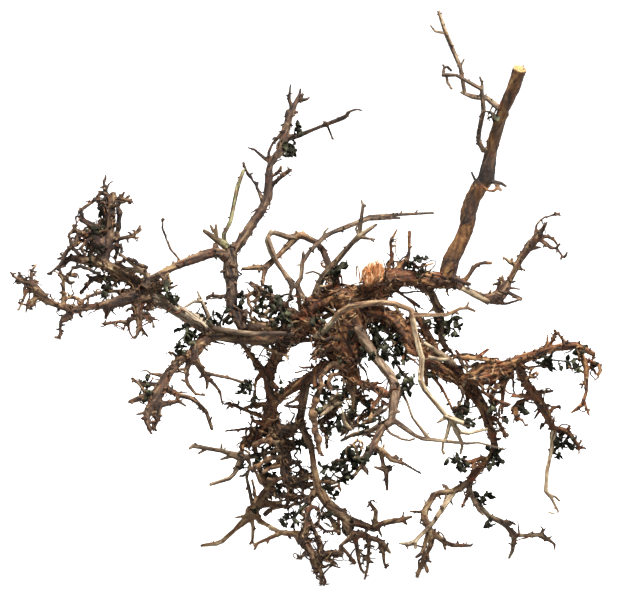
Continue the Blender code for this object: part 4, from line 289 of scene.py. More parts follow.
# Bare wood that has weathered in the open: grey-tan with dark brown lines along the grain.
weatheredWood = woodMaterial("bareWoodWeatheredGrey", {
    "streaks": ((0.1, "#2b1f17"), (0.38, "#584534"), (0.58, "#846d53"), (0.9, "#b8a381")),
    "worn": ((0.1, "#20160f"), (0.4, "#4b3728"), (0.65, "#7a6048"), (0.95, "#ab9270")),
    "wornFrom": 0.85, "wornTo": 1.2, "tint": "#74492a", "tintShare": 0.4, "deep": "#1a120d", "deepShare": 0.85,
    "grit": 0.8, "fleck": 6.0, "shake": 0.35, "bump": 0.5, "rough": (0.88, 0.7),
})
# Bare wood of the thick left bar: silvered by the weather, with dark open splits between pale ridges of grain.
silverWood = woodMaterial("bareWoodSilvered", {
    "streaks": ((0.1, "#2b1f17"), (0.36, "#7b6954"), (0.56, "#ae9b82"), (0.9, "#d2c5a8")),
    "worn": ((0.1, "#20160f"), (0.4, "#57432f"), (0.65, "#8a7156"), (0.95, "#b9a280")),
    "wornFrom": 0.85, "wornTo": 1.2, "tint": "#74492a", "tintShare": 0.3, "deep": "#1a120d", "deepShare": 0.85,
    "grit": 0.8, "fleck": 6.0, "shake": 0.35, "bump": 0.6, "rough": (0.88, 0.7),
})
# Torn heartwood: freshly split, so orange and fibrous, with pale ridges and rust-brown splits.
heartWood = woodMaterial("tornHeartwood", {
    "streaks": ((0.1, "#6b3618"), (0.38, "#b0713f"), (0.6, "#dca877"), (0.9, "#f5ddb8")),
    "worn": ((0.1, "#5f3018"), (0.4, "#9c5a2a"), (0.65, "#c68f58"), (0.95, "#efcda0")),
    "wornFrom": 0.8, "wornTo": 1.15, "tint": "#c8692c", "tintShare": 0.5, "deep": "#3b1d0f", "deepShare": 0.85,
    "grit": 0.9, "fleck": 5.0, "shake": 0.5, "bump": 0.8, "rough": (0.85, 0.7),
})


def leafMaterial(name, look):
    material, tree, shader = startMaterial(name)
    place = addNode(tree, "ShaderNodeTexCoord").outputs["Object"]
    blotch = addNode(tree, "ShaderNodeTexNoise", None, {
        "Vector": place, "Scale": 1000 / look["blotch"], "Detail": 3.0,
    })
    vein = addNode(tree, "ShaderNodeTexNoise", None, {"Vector": place, "Scale": 1000 / look["vein"], "Detail": 2.0})
    tone = addNode(tree, "ShaderNodeValToRGB", None, {"Fac": blotch.outputs["Fac"]})
    setRamp(tone, look["tones"])
    tree.links.new(tone.outputs[0], shader.inputs["Base Color"])
    bump = addNode(tree, "ShaderNodeBump", None, {
        "Strength": look["bump"], "Distance": look["bumpHeight"], "Height": vein.outputs["Fac"],
    })
    tree.links.new(bump.outputs[0], shader.inputs["Normal"])
    shader.inputs["Roughness"].default_value = look["rough"]
    shader.inputs["Specular IOR Level"].default_value = look["shine"]
    return material


# A dead leaf dried on the twig: papery and brittle, nearly black, here and there still olive green. Blotches are
# about 9 mm and veins 1.2 mm apart.
deadLeaf = leafMaterial("deadLeafBlackGreen", {
    "tones": ((0.3, "#171610"), (0.46, "#29281e"), (0.58, "#434234"), (0.74, "#7d7e5e")),
    "blotch": 9.0, "vein": 1.2, "rough": 0.95, "shine": 0.15, "bump": 0.5, "bumpHeight": 0.0004,
})
print("materials made")


def camel(name):
    first, *rest = name.split("_")
    return first + "".join(word.capitalize() for word in rest)


def copyOfNode(node):
    # a merged copy of the frame's solid, which stays as it is
    source = frame["nodes"][node]
    piece = addObject(camel(node), source.data.copy())
    piece.data.materials.clear()
    selectOnly(piece)
    bpy.ops.object.mode_set(mode="EDIT")
    bpy.ops.mesh.select_all(action="SELECT")
    bpy.ops.mesh.remove_doubles(threshold=1e-6)
    bpy.ops.object.mode_set(mode="OBJECT")
    return piece


def grainOf(mesh):
    # each long narrow face runs along its limb, so its longest side gives the grain's direction there
    mesh.calc_loop_triangles()
    points = np.empty(len(mesh.vertices) * 3)
    mesh.vertices.foreach_get("co", points)
    points = points.reshape(-1, 3)
    faces = np.empty(len(mesh.loop_triangles) * 3, np.int32)
    mesh.loop_triangles.foreach_get("vertices", faces)
    corners = points[faces.reshape(-1, 3)]
    sides = corners[:, [1, 2, 0]] - corners
    lengths = np.linalg.norm(sides, axis=2)
    pick = lengths.argmax(axis=1)
    chosen = sides[np.arange(len(sides)), pick]
    chosen /= np.linalg.norm(chosen, axis=1)[:, None] + 1e-12
    trust = (lengths.max(axis=1) / mm) ** 1.5
    solid = BVHTree.FromPolygons([tuple(p) for p in points], [tuple(f) for f in faces.reshape(-1, 3)])
    return chosen, trust, solid


def spread(values, edges, share, times):
    # evens values out between neighbouring points
    count = len(values)
    ends = np.concatenate([edges, edges[:, ::-1]])
    neighbours = np.maximum(np.bincount(ends[:, 0], minlength=count), 1)[:, None]
    for _ in range(times):
        sums = np.column_stack([
            np.bincount(ends[:, 0], weights=column[ends[:, 1]], minlength=count) for column in values.T
        ])
        values = values + share * (sums / neighbours - values)
    return values


def pointsOf(mesh):
    points = np.empty(len(mesh.vertices) * 3)
    mesh.vertices.foreach_get("co", points)
    normals = np.empty(len(mesh.vertices) * 3)
    mesh.vertices.foreach_get("normal", normals)
    edges = np.empty(len(mesh.edges) * 2, np.int32)
    mesh.edges.foreach_get("vertices", edges)
    return points.reshape(-1, 3), normals.reshape(-1, 3), edges.reshape(-1, 2)


def putPoints(mesh, points):
    mesh.vertices.foreach_set("co", points.astype(np.float32).ravel())
    mesh.update()


def setAttribute(mesh, name, values):
    kept = mesh.attributes.get(name) or mesh.attributes.new(name, "FLOAT", "POINT")
    kept.data.foreach_set("value", np.clip(values, 0, 1).astype(np.float32))


def attributeOf(mesh, name):
    values = np.empty(len(mesh.vertices), np.float32)
    mesh.attributes[name].data.foreach_get("value", values)
    return values


def smooth(mesh):
    for face in mesh.polygons:
        face.use_smooth = True


# a spur is the broken stub of a side shoot: a cone with a thick foot and a snapped tip; long and fat are how much
# longer or fatter one may be, and lean is how far it tips along the grain
spur = {
    "foot": 1.05, "tip": 0.68, "length": 3.4, "snap": 0.5, "sunk": 0.8, "row": 18.0,
    "long": (0.5, 1.7), "fat": (0.7, 1.25), "lean": (0.2, 1.2), "seed": 7,
}
bpy.ops.mesh.primitive_cone_add(
    vertices=6, radius1=spur["foot"] * mm, radius2=spur["tip"] * mm, depth=spur["length"] * mm,
    location=(0, 0, spur["length"] * 0.5 * mm),
)
spurPiece = bpy.context.object
bpy.ops.object.mode_set(mode="EDIT")
bpy.ops.mesh.select_all(action="SELECT")
bpy.ops.mesh.bisect(plane_co=(0, 0, spur["length"] * 0.45 * mm), plane_no=(0, 0, 1))
bpy.ops.object.mode_set(mode="OBJECT")
for vert in spurPiece.data.vertices:
    if vert.co.z + spurPiece.location.z > 0.9 * spur["length"] * mm:
        vert.co.x += spur["snap"] * mm
spurShape = np.array([vert.co[:] for vert in spurPiece.data.vertices]) + np.array(spurPiece.location)
spurFaces = [tuple(face.vertices) for face in spurPiece.data.polygons]
bpy.data.objects.remove(spurPiece, do_unlink=True)


def addSpurs(piece, grain, dice, gap):
    # stands spurs on the limb, leaning along its grain
    mesh = piece.data
    mesh.calc_loop_triangles()
    areas = np.array([t.area for t in mesh.loop_triangles])
    many = int(areas.sum() / mm / mm / (gap * spur["row"]))
    if not many:
        return
    picks = dice.choice(len(areas), size=many, p=areas / areas.sum())
    build = bmesh.new()
    build.from_mesh(mesh)
    corners = [[mesh.vertices[v].co for v in mesh.loop_triangles[k].vertices] for k in picks]
    for k, (a, b, c) in zip(picks, corners):
        u, v = dice.random(2)
        if u + v > 1:
            u, v = 1 - u, 1 - v
        foot = a + (b - a) * u + (c - a) * v
        normal = mesh.loop_triangles[k].normal
        along = Vector(grain[k]) * (1 if dice.random() < 0.5 else -1)
        way = (Vector(normal) + along * dice.uniform(*spur["lean"])).normalized()
        turned = way.to_track_quat("Z", "Y").to_matrix()
        size = dice.uniform(*spur["long"])
        fat = dice.uniform(*spur["fat"])
        root = foot - Vector(normal) * spur["sunk"] * mm
        new = [build.verts.new(root + turned @ Vector((p[0] * fat, p[1] * fat, p[2] * size))) for p in spurShape]
        for face in spurFaces:
            build.faces.new([new[i] for i in face])
    build.to_mesh(mesh)
    build.free()


# how the skin grows, in mm and in shares of the limb's radius: noise sizes, and how much of each is added
carving = {
    "evening": 0.6, "passes": 8, "thickest": 3.0, "roundOver": 9.0, "roundShare": (0.06, 0.6),
    "streakGap": 0.7, "streakPower": 0.42, "streakLimit": 1.4, "patchSteps": (-9.0, -4.5, 0.0, 4.5, 9.0),
    "patchPower": 1.8, "lump": 5.5, "knob": 2.6, "swelling": 13.0, "crumb": 1.1, "ridgeShare": 0.085,
    "lumpShare": 0.11,
}


def noiseAlong(sample, along, steps, cell, seed):
    # noise drawn out along the grain
    return sum(softNoise(sample + along * step, cell, seed) for step in steps)


def carveLimb(piece, look, limbNumber):
    # rounds the limb, then raises its bark or grain and writes what the material reads
    grain, trust, solid = grainOf(piece.data)
    dice = np.random.default_rng(spur["seed"] + limbNumber)
    addSpurs(piece, grain, dice, look["spurGap"])
    skin = piece.modifiers.new("skin", "REMESH")
    skin.mode = "VOXEL"
    skin.voxel_size = look["voxel"] * mm
    skin.use_smooth_shade = True
    selectOnly(piece)
    bpy.ops.object.modifier_apply(modifier=skin.name)
    mesh = piece.data
    points, normals, edges = pointsOf(mesh)
    count = len(points)
    direction = np.zeros((count, 6))
    radius = np.empty(count)
    for i in range(count):
        where, facing, face, away = solid.find_nearest(Vector(points[i]))
        d = grain[face] * trust[face] ** 0.5
        direction[i] = (d[0] * d[0], d[1] * d[1], d[2] * d[2], d[0] * d[1], d[0] * d[2], d[1] * d[2])
        hit = solid.ray_cast(where - facing * 0.02 * mm, -facing, 0.05)
        radius[i] = hit[3] / 2 / mm if hit[0] else carving["thickest"]
    direction = spread(direction, edges, carving["evening"], carving["passes"])
    radius = spread(radius[:, None], edges, carving["evening"], carving["passes"])[:, 0]
    tensor = np.empty((count, 3, 3))
    for k, (i, j) in enumerate(((0, 0), (1, 1), (2, 2), (0, 1), (0, 2), (1, 2))):
        tensor[:, i, j] = tensor[:, j, i] = direction[:, k]
    along = np.linalg.eigh(tensor)[1][:, :, 2]
    if "grainWay" in look:
        along = np.tile(look["grainWay"], (count, 1))
    # thick limbs are rounded more than thin ones
    share = np.clip(radius / carving["roundOver"], *carving["roundShare"])[:, None]
    putPoints(mesh, spread(points, edges, share, look["rounds"]))
    points, normals, edges = pointsOf(mesh)
    sample = points / mm
    reach, width = look["streakReach"], look["streakWidth"]
    steps = np.linspace(-reach, reach, 1 + int(2 * reach / width / carving["streakGap"]))
    streak = noiseAlong(sample, along, steps, width, 11 + limbNumber)
    streak = streak / streak.std() * carving["streakPower"]
    patch = noiseAlong(sample, along, carving["patchSteps"], look["patchSize"], 31 + limbNumber)
    patch = patch / len(carving["patchSteps"]) * carving["patchPower"]
    lump = softNoise(sample, carving["lump"], 51 + limbNumber) + 0.5 * softNoise(
        sample, carving["knob"], 52 + limbNumber,
    )
    swelling = softNoise(sample, carving["swelling"], 53 + limbNumber)
    crumb = softNoise(sample, carving["crumb"], 54 + limbNumber)
    ridge = np.minimum(look["ridge"], look.get("ridgeShare", carving["ridgeShare"]) * radius)
    swell = np.minimum(look["lump"], carving["lumpShare"] * radius)
    limited = np.clip(streak, -carving["streakLimit"], carving["streakLimit"])
    height = look["proud"] + ridge * limited + swell * (0.7 * lump + 0.6 * swelling) + 0.35 * ridge * crumb
    moved = points + normals * height[:, None] * mm
    putPoints(mesh, moved)
    evened = spread(moved, edges, 1.0, 2)
    # painted shade: how far each point sits in a hollow, plus the grooves between streak ridges, darkens the colour
    # there
    hollow = np.einsum("ij,ij->i", evened - moved, normals) / mm
    setAttribute(mesh, "streak", 0.5 + 0.36 * streak)
    setAttribute(mesh, "patch", 0.5 + 0.5 * patch)
    setAttribute(mesh, "hollow", 0.5 * np.clip(hollow / 0.12, 0, 1) + 0.6 * np.clip(-streak - 0.35, 0, 1))
    smooth(mesh)
    return piece


# voxel is the mesh's grain, spurGap the room that each spur has, and proud how far the skin stands off the frame
barkLook = {
    "voxel": 0.84, "rounds": 14, "spurGap": 6.5,
    "streakReach": 8.0, "streakWidth": 1.9, "patchSize": 12.0, "ridge": 0.5, "lump": 0.8, "proud": 0.32,
}
stemLook = {
    "voxel": 0.7, "rounds": 18, "spurGap": 40.0,
    "streakReach": 10.0, "streakWidth": 2.2, "patchSize": 15.0, "ridge": 0.32, "lump": 0.5, "proud": 0.3,
}
thinLook = {
    "voxel": 0.5, "rounds": 6, "spurGap": 10.0,
    "streakReach": 6.0, "streakWidth": 1.3, "patchSize": 9.0, "ridge": 0.25, "lump": 0.4, "proud": 0.28,
}
bareLook = {
    "voxel": 0.6, "rounds": 12, "spurGap": 22.0,
    "streakReach": 10.0, "streakWidth": 1.5, "patchSize": 14.0, "ridge": 0.35, "lump": 0.45, "proud": 0.3,
}
tornLook = {
    "voxel": 0.6, "rounds": 4, "spurGap": 60.0,
    "streakReach": 9.0, "streakWidth": 2.0, "patchSize": 7.0, "ridge": 1.6, "ridgeShare": 0.16, "lump": 0.5,
    "proud": -2.0, "grainWay": (0.42, -0.12, 0.9),
}

limbs = {
    "dark_bark": (oldBark, barkLook, [
        "crown_heart", "crown_bar", "hook_limb", "back_post", "right_descender", "right_foot_front", "right_foot_rear",
        "right_arm", "lower_right_limb", "knee_foot", "centre_limb", "left_shoulder", "left_post", "upright_limb",
        "left_link_limb", "brown_arch", "left_knot_limb", "tangle_limb", "lower_left_limb", "lower_left_twig",
        "inner_left_limb", "dark_post", "low_centre_limb", "low_centre_legs", "low_left_limb", "left_pale_leg",
    ]),
    "twig_bark": (
        twigBark, thinLook,
        ["stem_twig_high", "stem_twig_low", "long_top_twig", "top_fork_twig", "tangle_shoots", "left_cross_twig"],
    ),
    "bleached_wood": (
        bareWood, bareLook,
        ["pale_rib", "knee_limb", "hanging_twig", "right_foot_pale", "pale_arch", "left_bar", "green_twig"],
    ),
    "torn_heartwood": (heartWood, tornLook, ["torn_stub"]),
}
ownBark = {
    "green_twig": greenBark, "knee_limb": weatheredWood, "right_foot_rear": weatheredWood, "left_bar": silverWood,
    "pale_arch": weatheredWood, "left_pale_leg": rootletBark,
    **{node: rustBark for node in (
        "crown_bar", "right_descender", "right_arm", "lower_right_limb", "inner_left_limb", "crown_heart",
    )},
    **{node: darkBark for node in ("tangle_limb", "left_post", "upright_limb", "dark_post")},
}
slotOfNode = {"left_pale_leg": "bleached_wood"}
# brown bark is left along the rib's arch, its leg is bare, and its foot is grey-brown again
paleRib = {
    "barkFrom": 246.0, "barkOver": 24.0, "barkShare": 0.9, "footFrom": 152.0, "footOver": 18.0, "footShare": 0.72,
    "wander": 5.0,
}
# the post is soot-black where it stands in the shoulder's shade
# painted shade: the whole post is made darker for the shade that the shoulder casts on it
leftPost = {"soot": 0.3}
# the shoot has brown rings at its buds and brown bark on its foot
greenTwig = {"buds": (388.0, 372.0, 350.0, 402.0), "budSize": 2.2, "footLeftOf": -86.0, "patch": 0.2}
limbNumber = 0
for slotName, (material, look, nodes) in limbs.items():
    for node in nodes:
        piece = carveLimb(copyOfNode(node), look, limbNumber)
        piece.data.materials.append(ownBark.get(node, material))
        settle(piece, slotOfNode.get(node, slotName), node)
        limbNumber += 1
        points = pointsOf(piece.data)[0]
        across, up = onSheet(points)[:, :2].T
        if node == "pale_rib":
            up = up + paleRib["wander"] * softNoise(points / mm, 7.0, 62)
            arch = np.clip((up - paleRib["barkFrom"]) / paleRib["barkOver"], 0, paleRib["barkShare"])
            foot = np.clip((paleRib["footFrom"] - up) / paleRib["footOver"], 0, paleRib["footShare"])
            setAttribute(piece.data, "patch", arch + foot)
        if node == "left_post":
            # painted shade over the whole left post
            setAttribute(piece.data, "hollow", attributeOf(piece.data, "hollow") + leftPost["soot"])
        if node == "green_twig":
            buds = sum(np.exp(-((up - bud) / greenTwig["budSize"]) ** 2) for bud in greenTwig["buds"])
            foot = (across < greenTwig["footLeftOf"]).astype(float)
            setAttribute(piece.data, "patch", greenTwig["patch"] + foot + buds)
    print(slotName, "limbs done")

# the stem's bark is nearly black around the knot halfway up and just under it: (up, reach, how black)
sawnStem = {"knots": ((404.0, 9.0, 0.85), (426.0, 14.0, 0.5), (362.0, 5.0, 0.5)), "wander": 4.0}
stem = carveLimb(copyOfNode("sawn_stem"), stemLook, limbNumber)
points = pointsOf(stem.data)[0]
up = onSheet(points)[:, 1] + sawnStem["wander"] * softNoise(points / mm, 6.0, 61)
soot = sum(share * np.exp(-((up - knot) / reach) ** 2) for knot, reach, share in sawnStem["knots"])
setAttribute(stem.data, "hollow", attributeOf(stem.data, "hollow") + soot)
stem.data.materials.append(stemBark)
settle(stem, "dark_bark", "sawn_stem")
print("sawn stem done")

# The saw cut on the stem: a thin disc of end grain with shallow rings left by the blade.
sawnCut = {
    "mount": "sawn_end", "radius": 6.8, "thick": 1.4, "rings": 7, "ringStep": 0.75, "dips": (-0.07, 0.09),
    "proud": 0.1, "growthRing": 1.6, "tones": (
        (0.2, "#7a4a22"), (0.42, "#ac7e46"), (0.62, "#c9a168"), (0.9, "#dcc08f"),
    ),
}
cutMount = next(m for m in frame["record"]["mounts"] if m["name"] == sawnCut["mount"])
cutPlace, cutWay = Vector(cutMount["pos_m"]), Vector(cutMount["axis"]).normalized()


def sawnMaterial():
    # Freshly sawn end grain: pale cream, slightly shiny from the blade, with growth rings 1.6 mm apart.
    material, tree, shader = startMaterial("sawnEndGrain")
    place = addNode(tree, "ShaderNodeTexCoord").outputs["Object"]
    centred = addNode(tree, "ShaderNodeMapping", {"vector_type": "TEXTURE"}, {
        "Vector": place, "Location": tuple(cutPlace),
    })
    wobble = addNode(tree, "ShaderNodeTexNoise", None, {"Vector": place, "Scale": 220.0, "Detail": 3.0})
    away = addNode(tree, "ShaderNodeVectorMath", {"operation": "LENGTH"}, {0: centred.outputs[0]})
    bent = addNode(tree, "ShaderNodeMath", {"operation": "MULTIPLY_ADD"}, {
        0: wobble.outputs["Fac"], 1: 0.003, 2: away.outputs["Value"],
    })
    turns = addNode(tree, "ShaderNodeMath", {"operation": "MULTIPLY"}, {
        0: bent.outputs[0], 1: 6283.0 / sawnCut["growthRing"],
    })
    wave = addNode(tree, "ShaderNodeMath", {"operation": "SINE"}, {0: turns.outputs[0]})
    ringed = addNode(tree, "ShaderNodeMath", {"operation": "MULTIPLY_ADD"}, {
        0: wave.outputs[0], 1: 0.22, 2: wobble.outputs["Fac"],
    })
    tone = addNode(tree, "ShaderNodeValToRGB", None, {"Fac": ringed.outputs[0]})
    setRamp(tone, sawnCut["tones"])
    tree.links.new(tone.outputs[0], shader.inputs["Base Color"])
    bump = addNode(tree, "ShaderNodeBump", None, {
        "Strength": 0.4, "Distance": 0.0003, "Height": wobble.outputs["Fac"],
    })
    tree.links.new(bump.outputs[0], shader.inputs["Normal"])
    shader.inputs["Roughness"].default_value = 0.6
    return material


bpy.ops.object.select_all(action="DESELECT")
bpy.ops.mesh.primitive_cylinder_add(
    vertices=36, radius=sawnCut["radius"] * mm, depth=sawnCut["thick"] * mm, location=(0, 0, 0),
)
cutFace = bpy.context.object
cutFace.name = "sawnFace"
bpy.ops.object.mode_set(mode="EDIT")
bpy.ops.mesh.select_all(action="DESELECT")
build = bmesh.from_edit_mesh(cutFace.data)
for face in build.faces:
    face.select = face.normal.z > 0.9
bmesh.update_edit_mesh(cutFace.data)
for ring in range(sawnCut["rings"]):
    bpy.ops.mesh.inset(thickness=sawnCut["ringStep"] * mm, depth=sawnCut["dips"][ring % 2] * mm)
bpy.ops.object.mode_set(mode="OBJECT")
# the stem isn't round, and neither is the cut through it
for vert in cutFace.data.vertices:
    angle = math.atan2(vert.co.y, vert.co.x)
    out = 1 + 0.05 * math.sin(2 * angle + 0.6) + 0.035 * math.sin(5 * angle) + 0.02 * math.sin(9 * angle + 2)
    vert.co.x *= out
    vert.co.y *= out
turned = cutWay.to_track_quat("Z", "Y").to_matrix().to_4x4()
cutFace.data.transform(Matrix.Translation(cutPlace + cutWay * sawnCut["proud"] * mm) @ turned)
bpy.ops.object.shade_smooth_by_angle(angle=math.radians(40))
cutFace.data.materials.append(sawnMaterial())
settle(cutFace, "bleached_wood")
print("saw cut done")

# the frame's wood as one solid, to find a limb's surface and how deep it lies behind a place on the sheet
woodVerts, woodFaces = [], []
for node, obj in frame["nodes"].items():
    if not node.startswith(("leaf", "leaves")):
        start = len(woodVerts)
        woodVerts.extend(vert.co.copy() for vert in obj.data.vertices)
        woodFaces.extend([start + v for v in face.vertices] for face in obj.data.polygons)
woodSolid = BVHTree.FromPolygons(woodVerts, woodFaces)
woodSheet = onSheet(np.array([v[:] for v in woodVerts]))
sheetTree = KDTree(len(woodSheet))
for i, (across, up, back) in enumerate(woodSheet):
    sheetTree.insert((across, up, 0), i)
sheetTree.balance()


def depthAt(across, up):
    # depth of the front-most limb close to a place on the sheet
    near = sheetTree.find_n((across, up, 0), 8)
    close = [n for n in near if n[2] < near[0][2] + 3.0]
    return min(woodSheet[n[1]][2] for n in close)


def curvePiece(name, lines, slotName, material, sides=1):
    # thin shoots as one curve, made into closed tubes; a line is a list of (place, radius)
    curve = bpy.data.curves.new(name, "CURVE")
    curve.dimensions = "3D"
    curve.bevel_depth = mm
    curve.bevel_resolution = sides
    curve.use_fill_caps = True
    curve.resolution_u = 3
    for line in lines:
        spline = curve.splines.new("NURBS")
        spline.points.add(len(line) - 1)
        spline.order_u = 3
        spline.use_endpoint_u = True
        for (place, radius), point in zip(line, spline.points):
            # nothing goes through the floor
            point.co = (place[0], place[1], max(place[2], (radius + 1.0) * mm), 1.0)
            point.radius = radius
    selectOnly(addObject(name, curve))
    bpy.ops.object.convert(target="MESH")
    piece = bpy.context.object
    bpy.ops.object.mode_set(mode="EDIT")
    bpy.ops.mesh.select_all(action="SELECT")
    bpy.ops.mesh.remove_doubles(threshold=1e-6)
    bpy.ops.mesh.normals_make_consistent(inside=False)
    bpy.ops.object.mode_set(mode="OBJECT")
    mesh = piece.data
    points, normals, edges = pointsOf(mesh)
    bend = np.column_stack([softNoise(points / mm, 7.0, 70 + k) for k in range(3)])
    points = points + bend * 0.5 * mm + normals * softNoise(points / mm, 1.8, 75)[:, None] * 0.18 * mm
    putPoints(mesh, points)
    setAttribute(mesh, "streak", 0.45 + 0.45 * softNoise(points / mm, 2.2, 76))
    setAttribute(mesh, "patch", 0.45 + 0.55 * softNoise(points / mm, 9.0, 77))
    # random dark spots along the thin shoots, read by the same dark tone as the painted shade
    setAttribute(mesh, "hollow", 0.3 + 0.5 * softNoise(points / mm, 4.0, 78))
    smooth(mesh)
    mesh.materials.clear()
    mesh.materials.append(material)
    settle(piece, slotName)


def jolt(dice):
    # a push of random strength any way
    return Vector(dice.normal(size=3))


def shootLines(strands, lead=1.0):
    # each strand is (rise in depth, (across, up, radius), ...); it starts lead behind the front of the limb at its foot
    lines = []
    for rise, *places in strands:
        start = depthAt(places[0][0], places[0][1]) + lead
        lines.append([(spot(a, u, start + rise * k / (len(places) - 1)), r) for k, (a, u, r) in enumerate(places)])
    return lines


# how crooked and knotty a shoot grows, in mm and as a share of its radius
crookedness = {
    "step": 4.5, "wander": 0.8, "swell": 0.28, "thinnest": 0.5, "budShare": 0.55, "budReach": (1.5, 4.0),
    "budFoot": 0.8, "budMiddle": 0.5, "budTip": 0.4, "seed": 311,
}


def knotty(lines):
    # the same shoots with kinks, swellings and short broken buds along them
    dice = np.random.default_rng(crookedness["seed"])
    grown = []
    for line in lines:
        shoot = [line[0]]
        for (start, thick), (end, thin) in zip(line, line[1:]):
            pieces = max(1, round((end - start).length / mm / crookedness["step"]))
            for k in range(1, pieces + 1):
                share = k / pieces
                radius = thick + (thin - thick) * share
                place = start.lerp(end, share) + jolt(dice) * crookedness["wander"] * mm * min(1.0, radius / 2 + 0.3)
                radius = max(crookedness["thinnest"], radius * (1 + crookedness["swell"] * dice.normal()))
                shoot.append((place, radius))
                if dice.random() < crookedness["budShare"]:
                    way = (jolt(dice) + (end - start).normalized() * 0.6).normalized()
                    reach = (radius + dice.uniform(*crookedness["budReach"])) * mm
                    grown.append([
                        (place, radius * crookedness["budFoot"]),
                        (place + way * reach * 0.6, radius * crookedness["budMiddle"]),
                        (place + way * reach + jolt(dice) * 0.6 * mm, crookedness["budTip"]),
                    ])
        grown.append(shoot)
    return grown


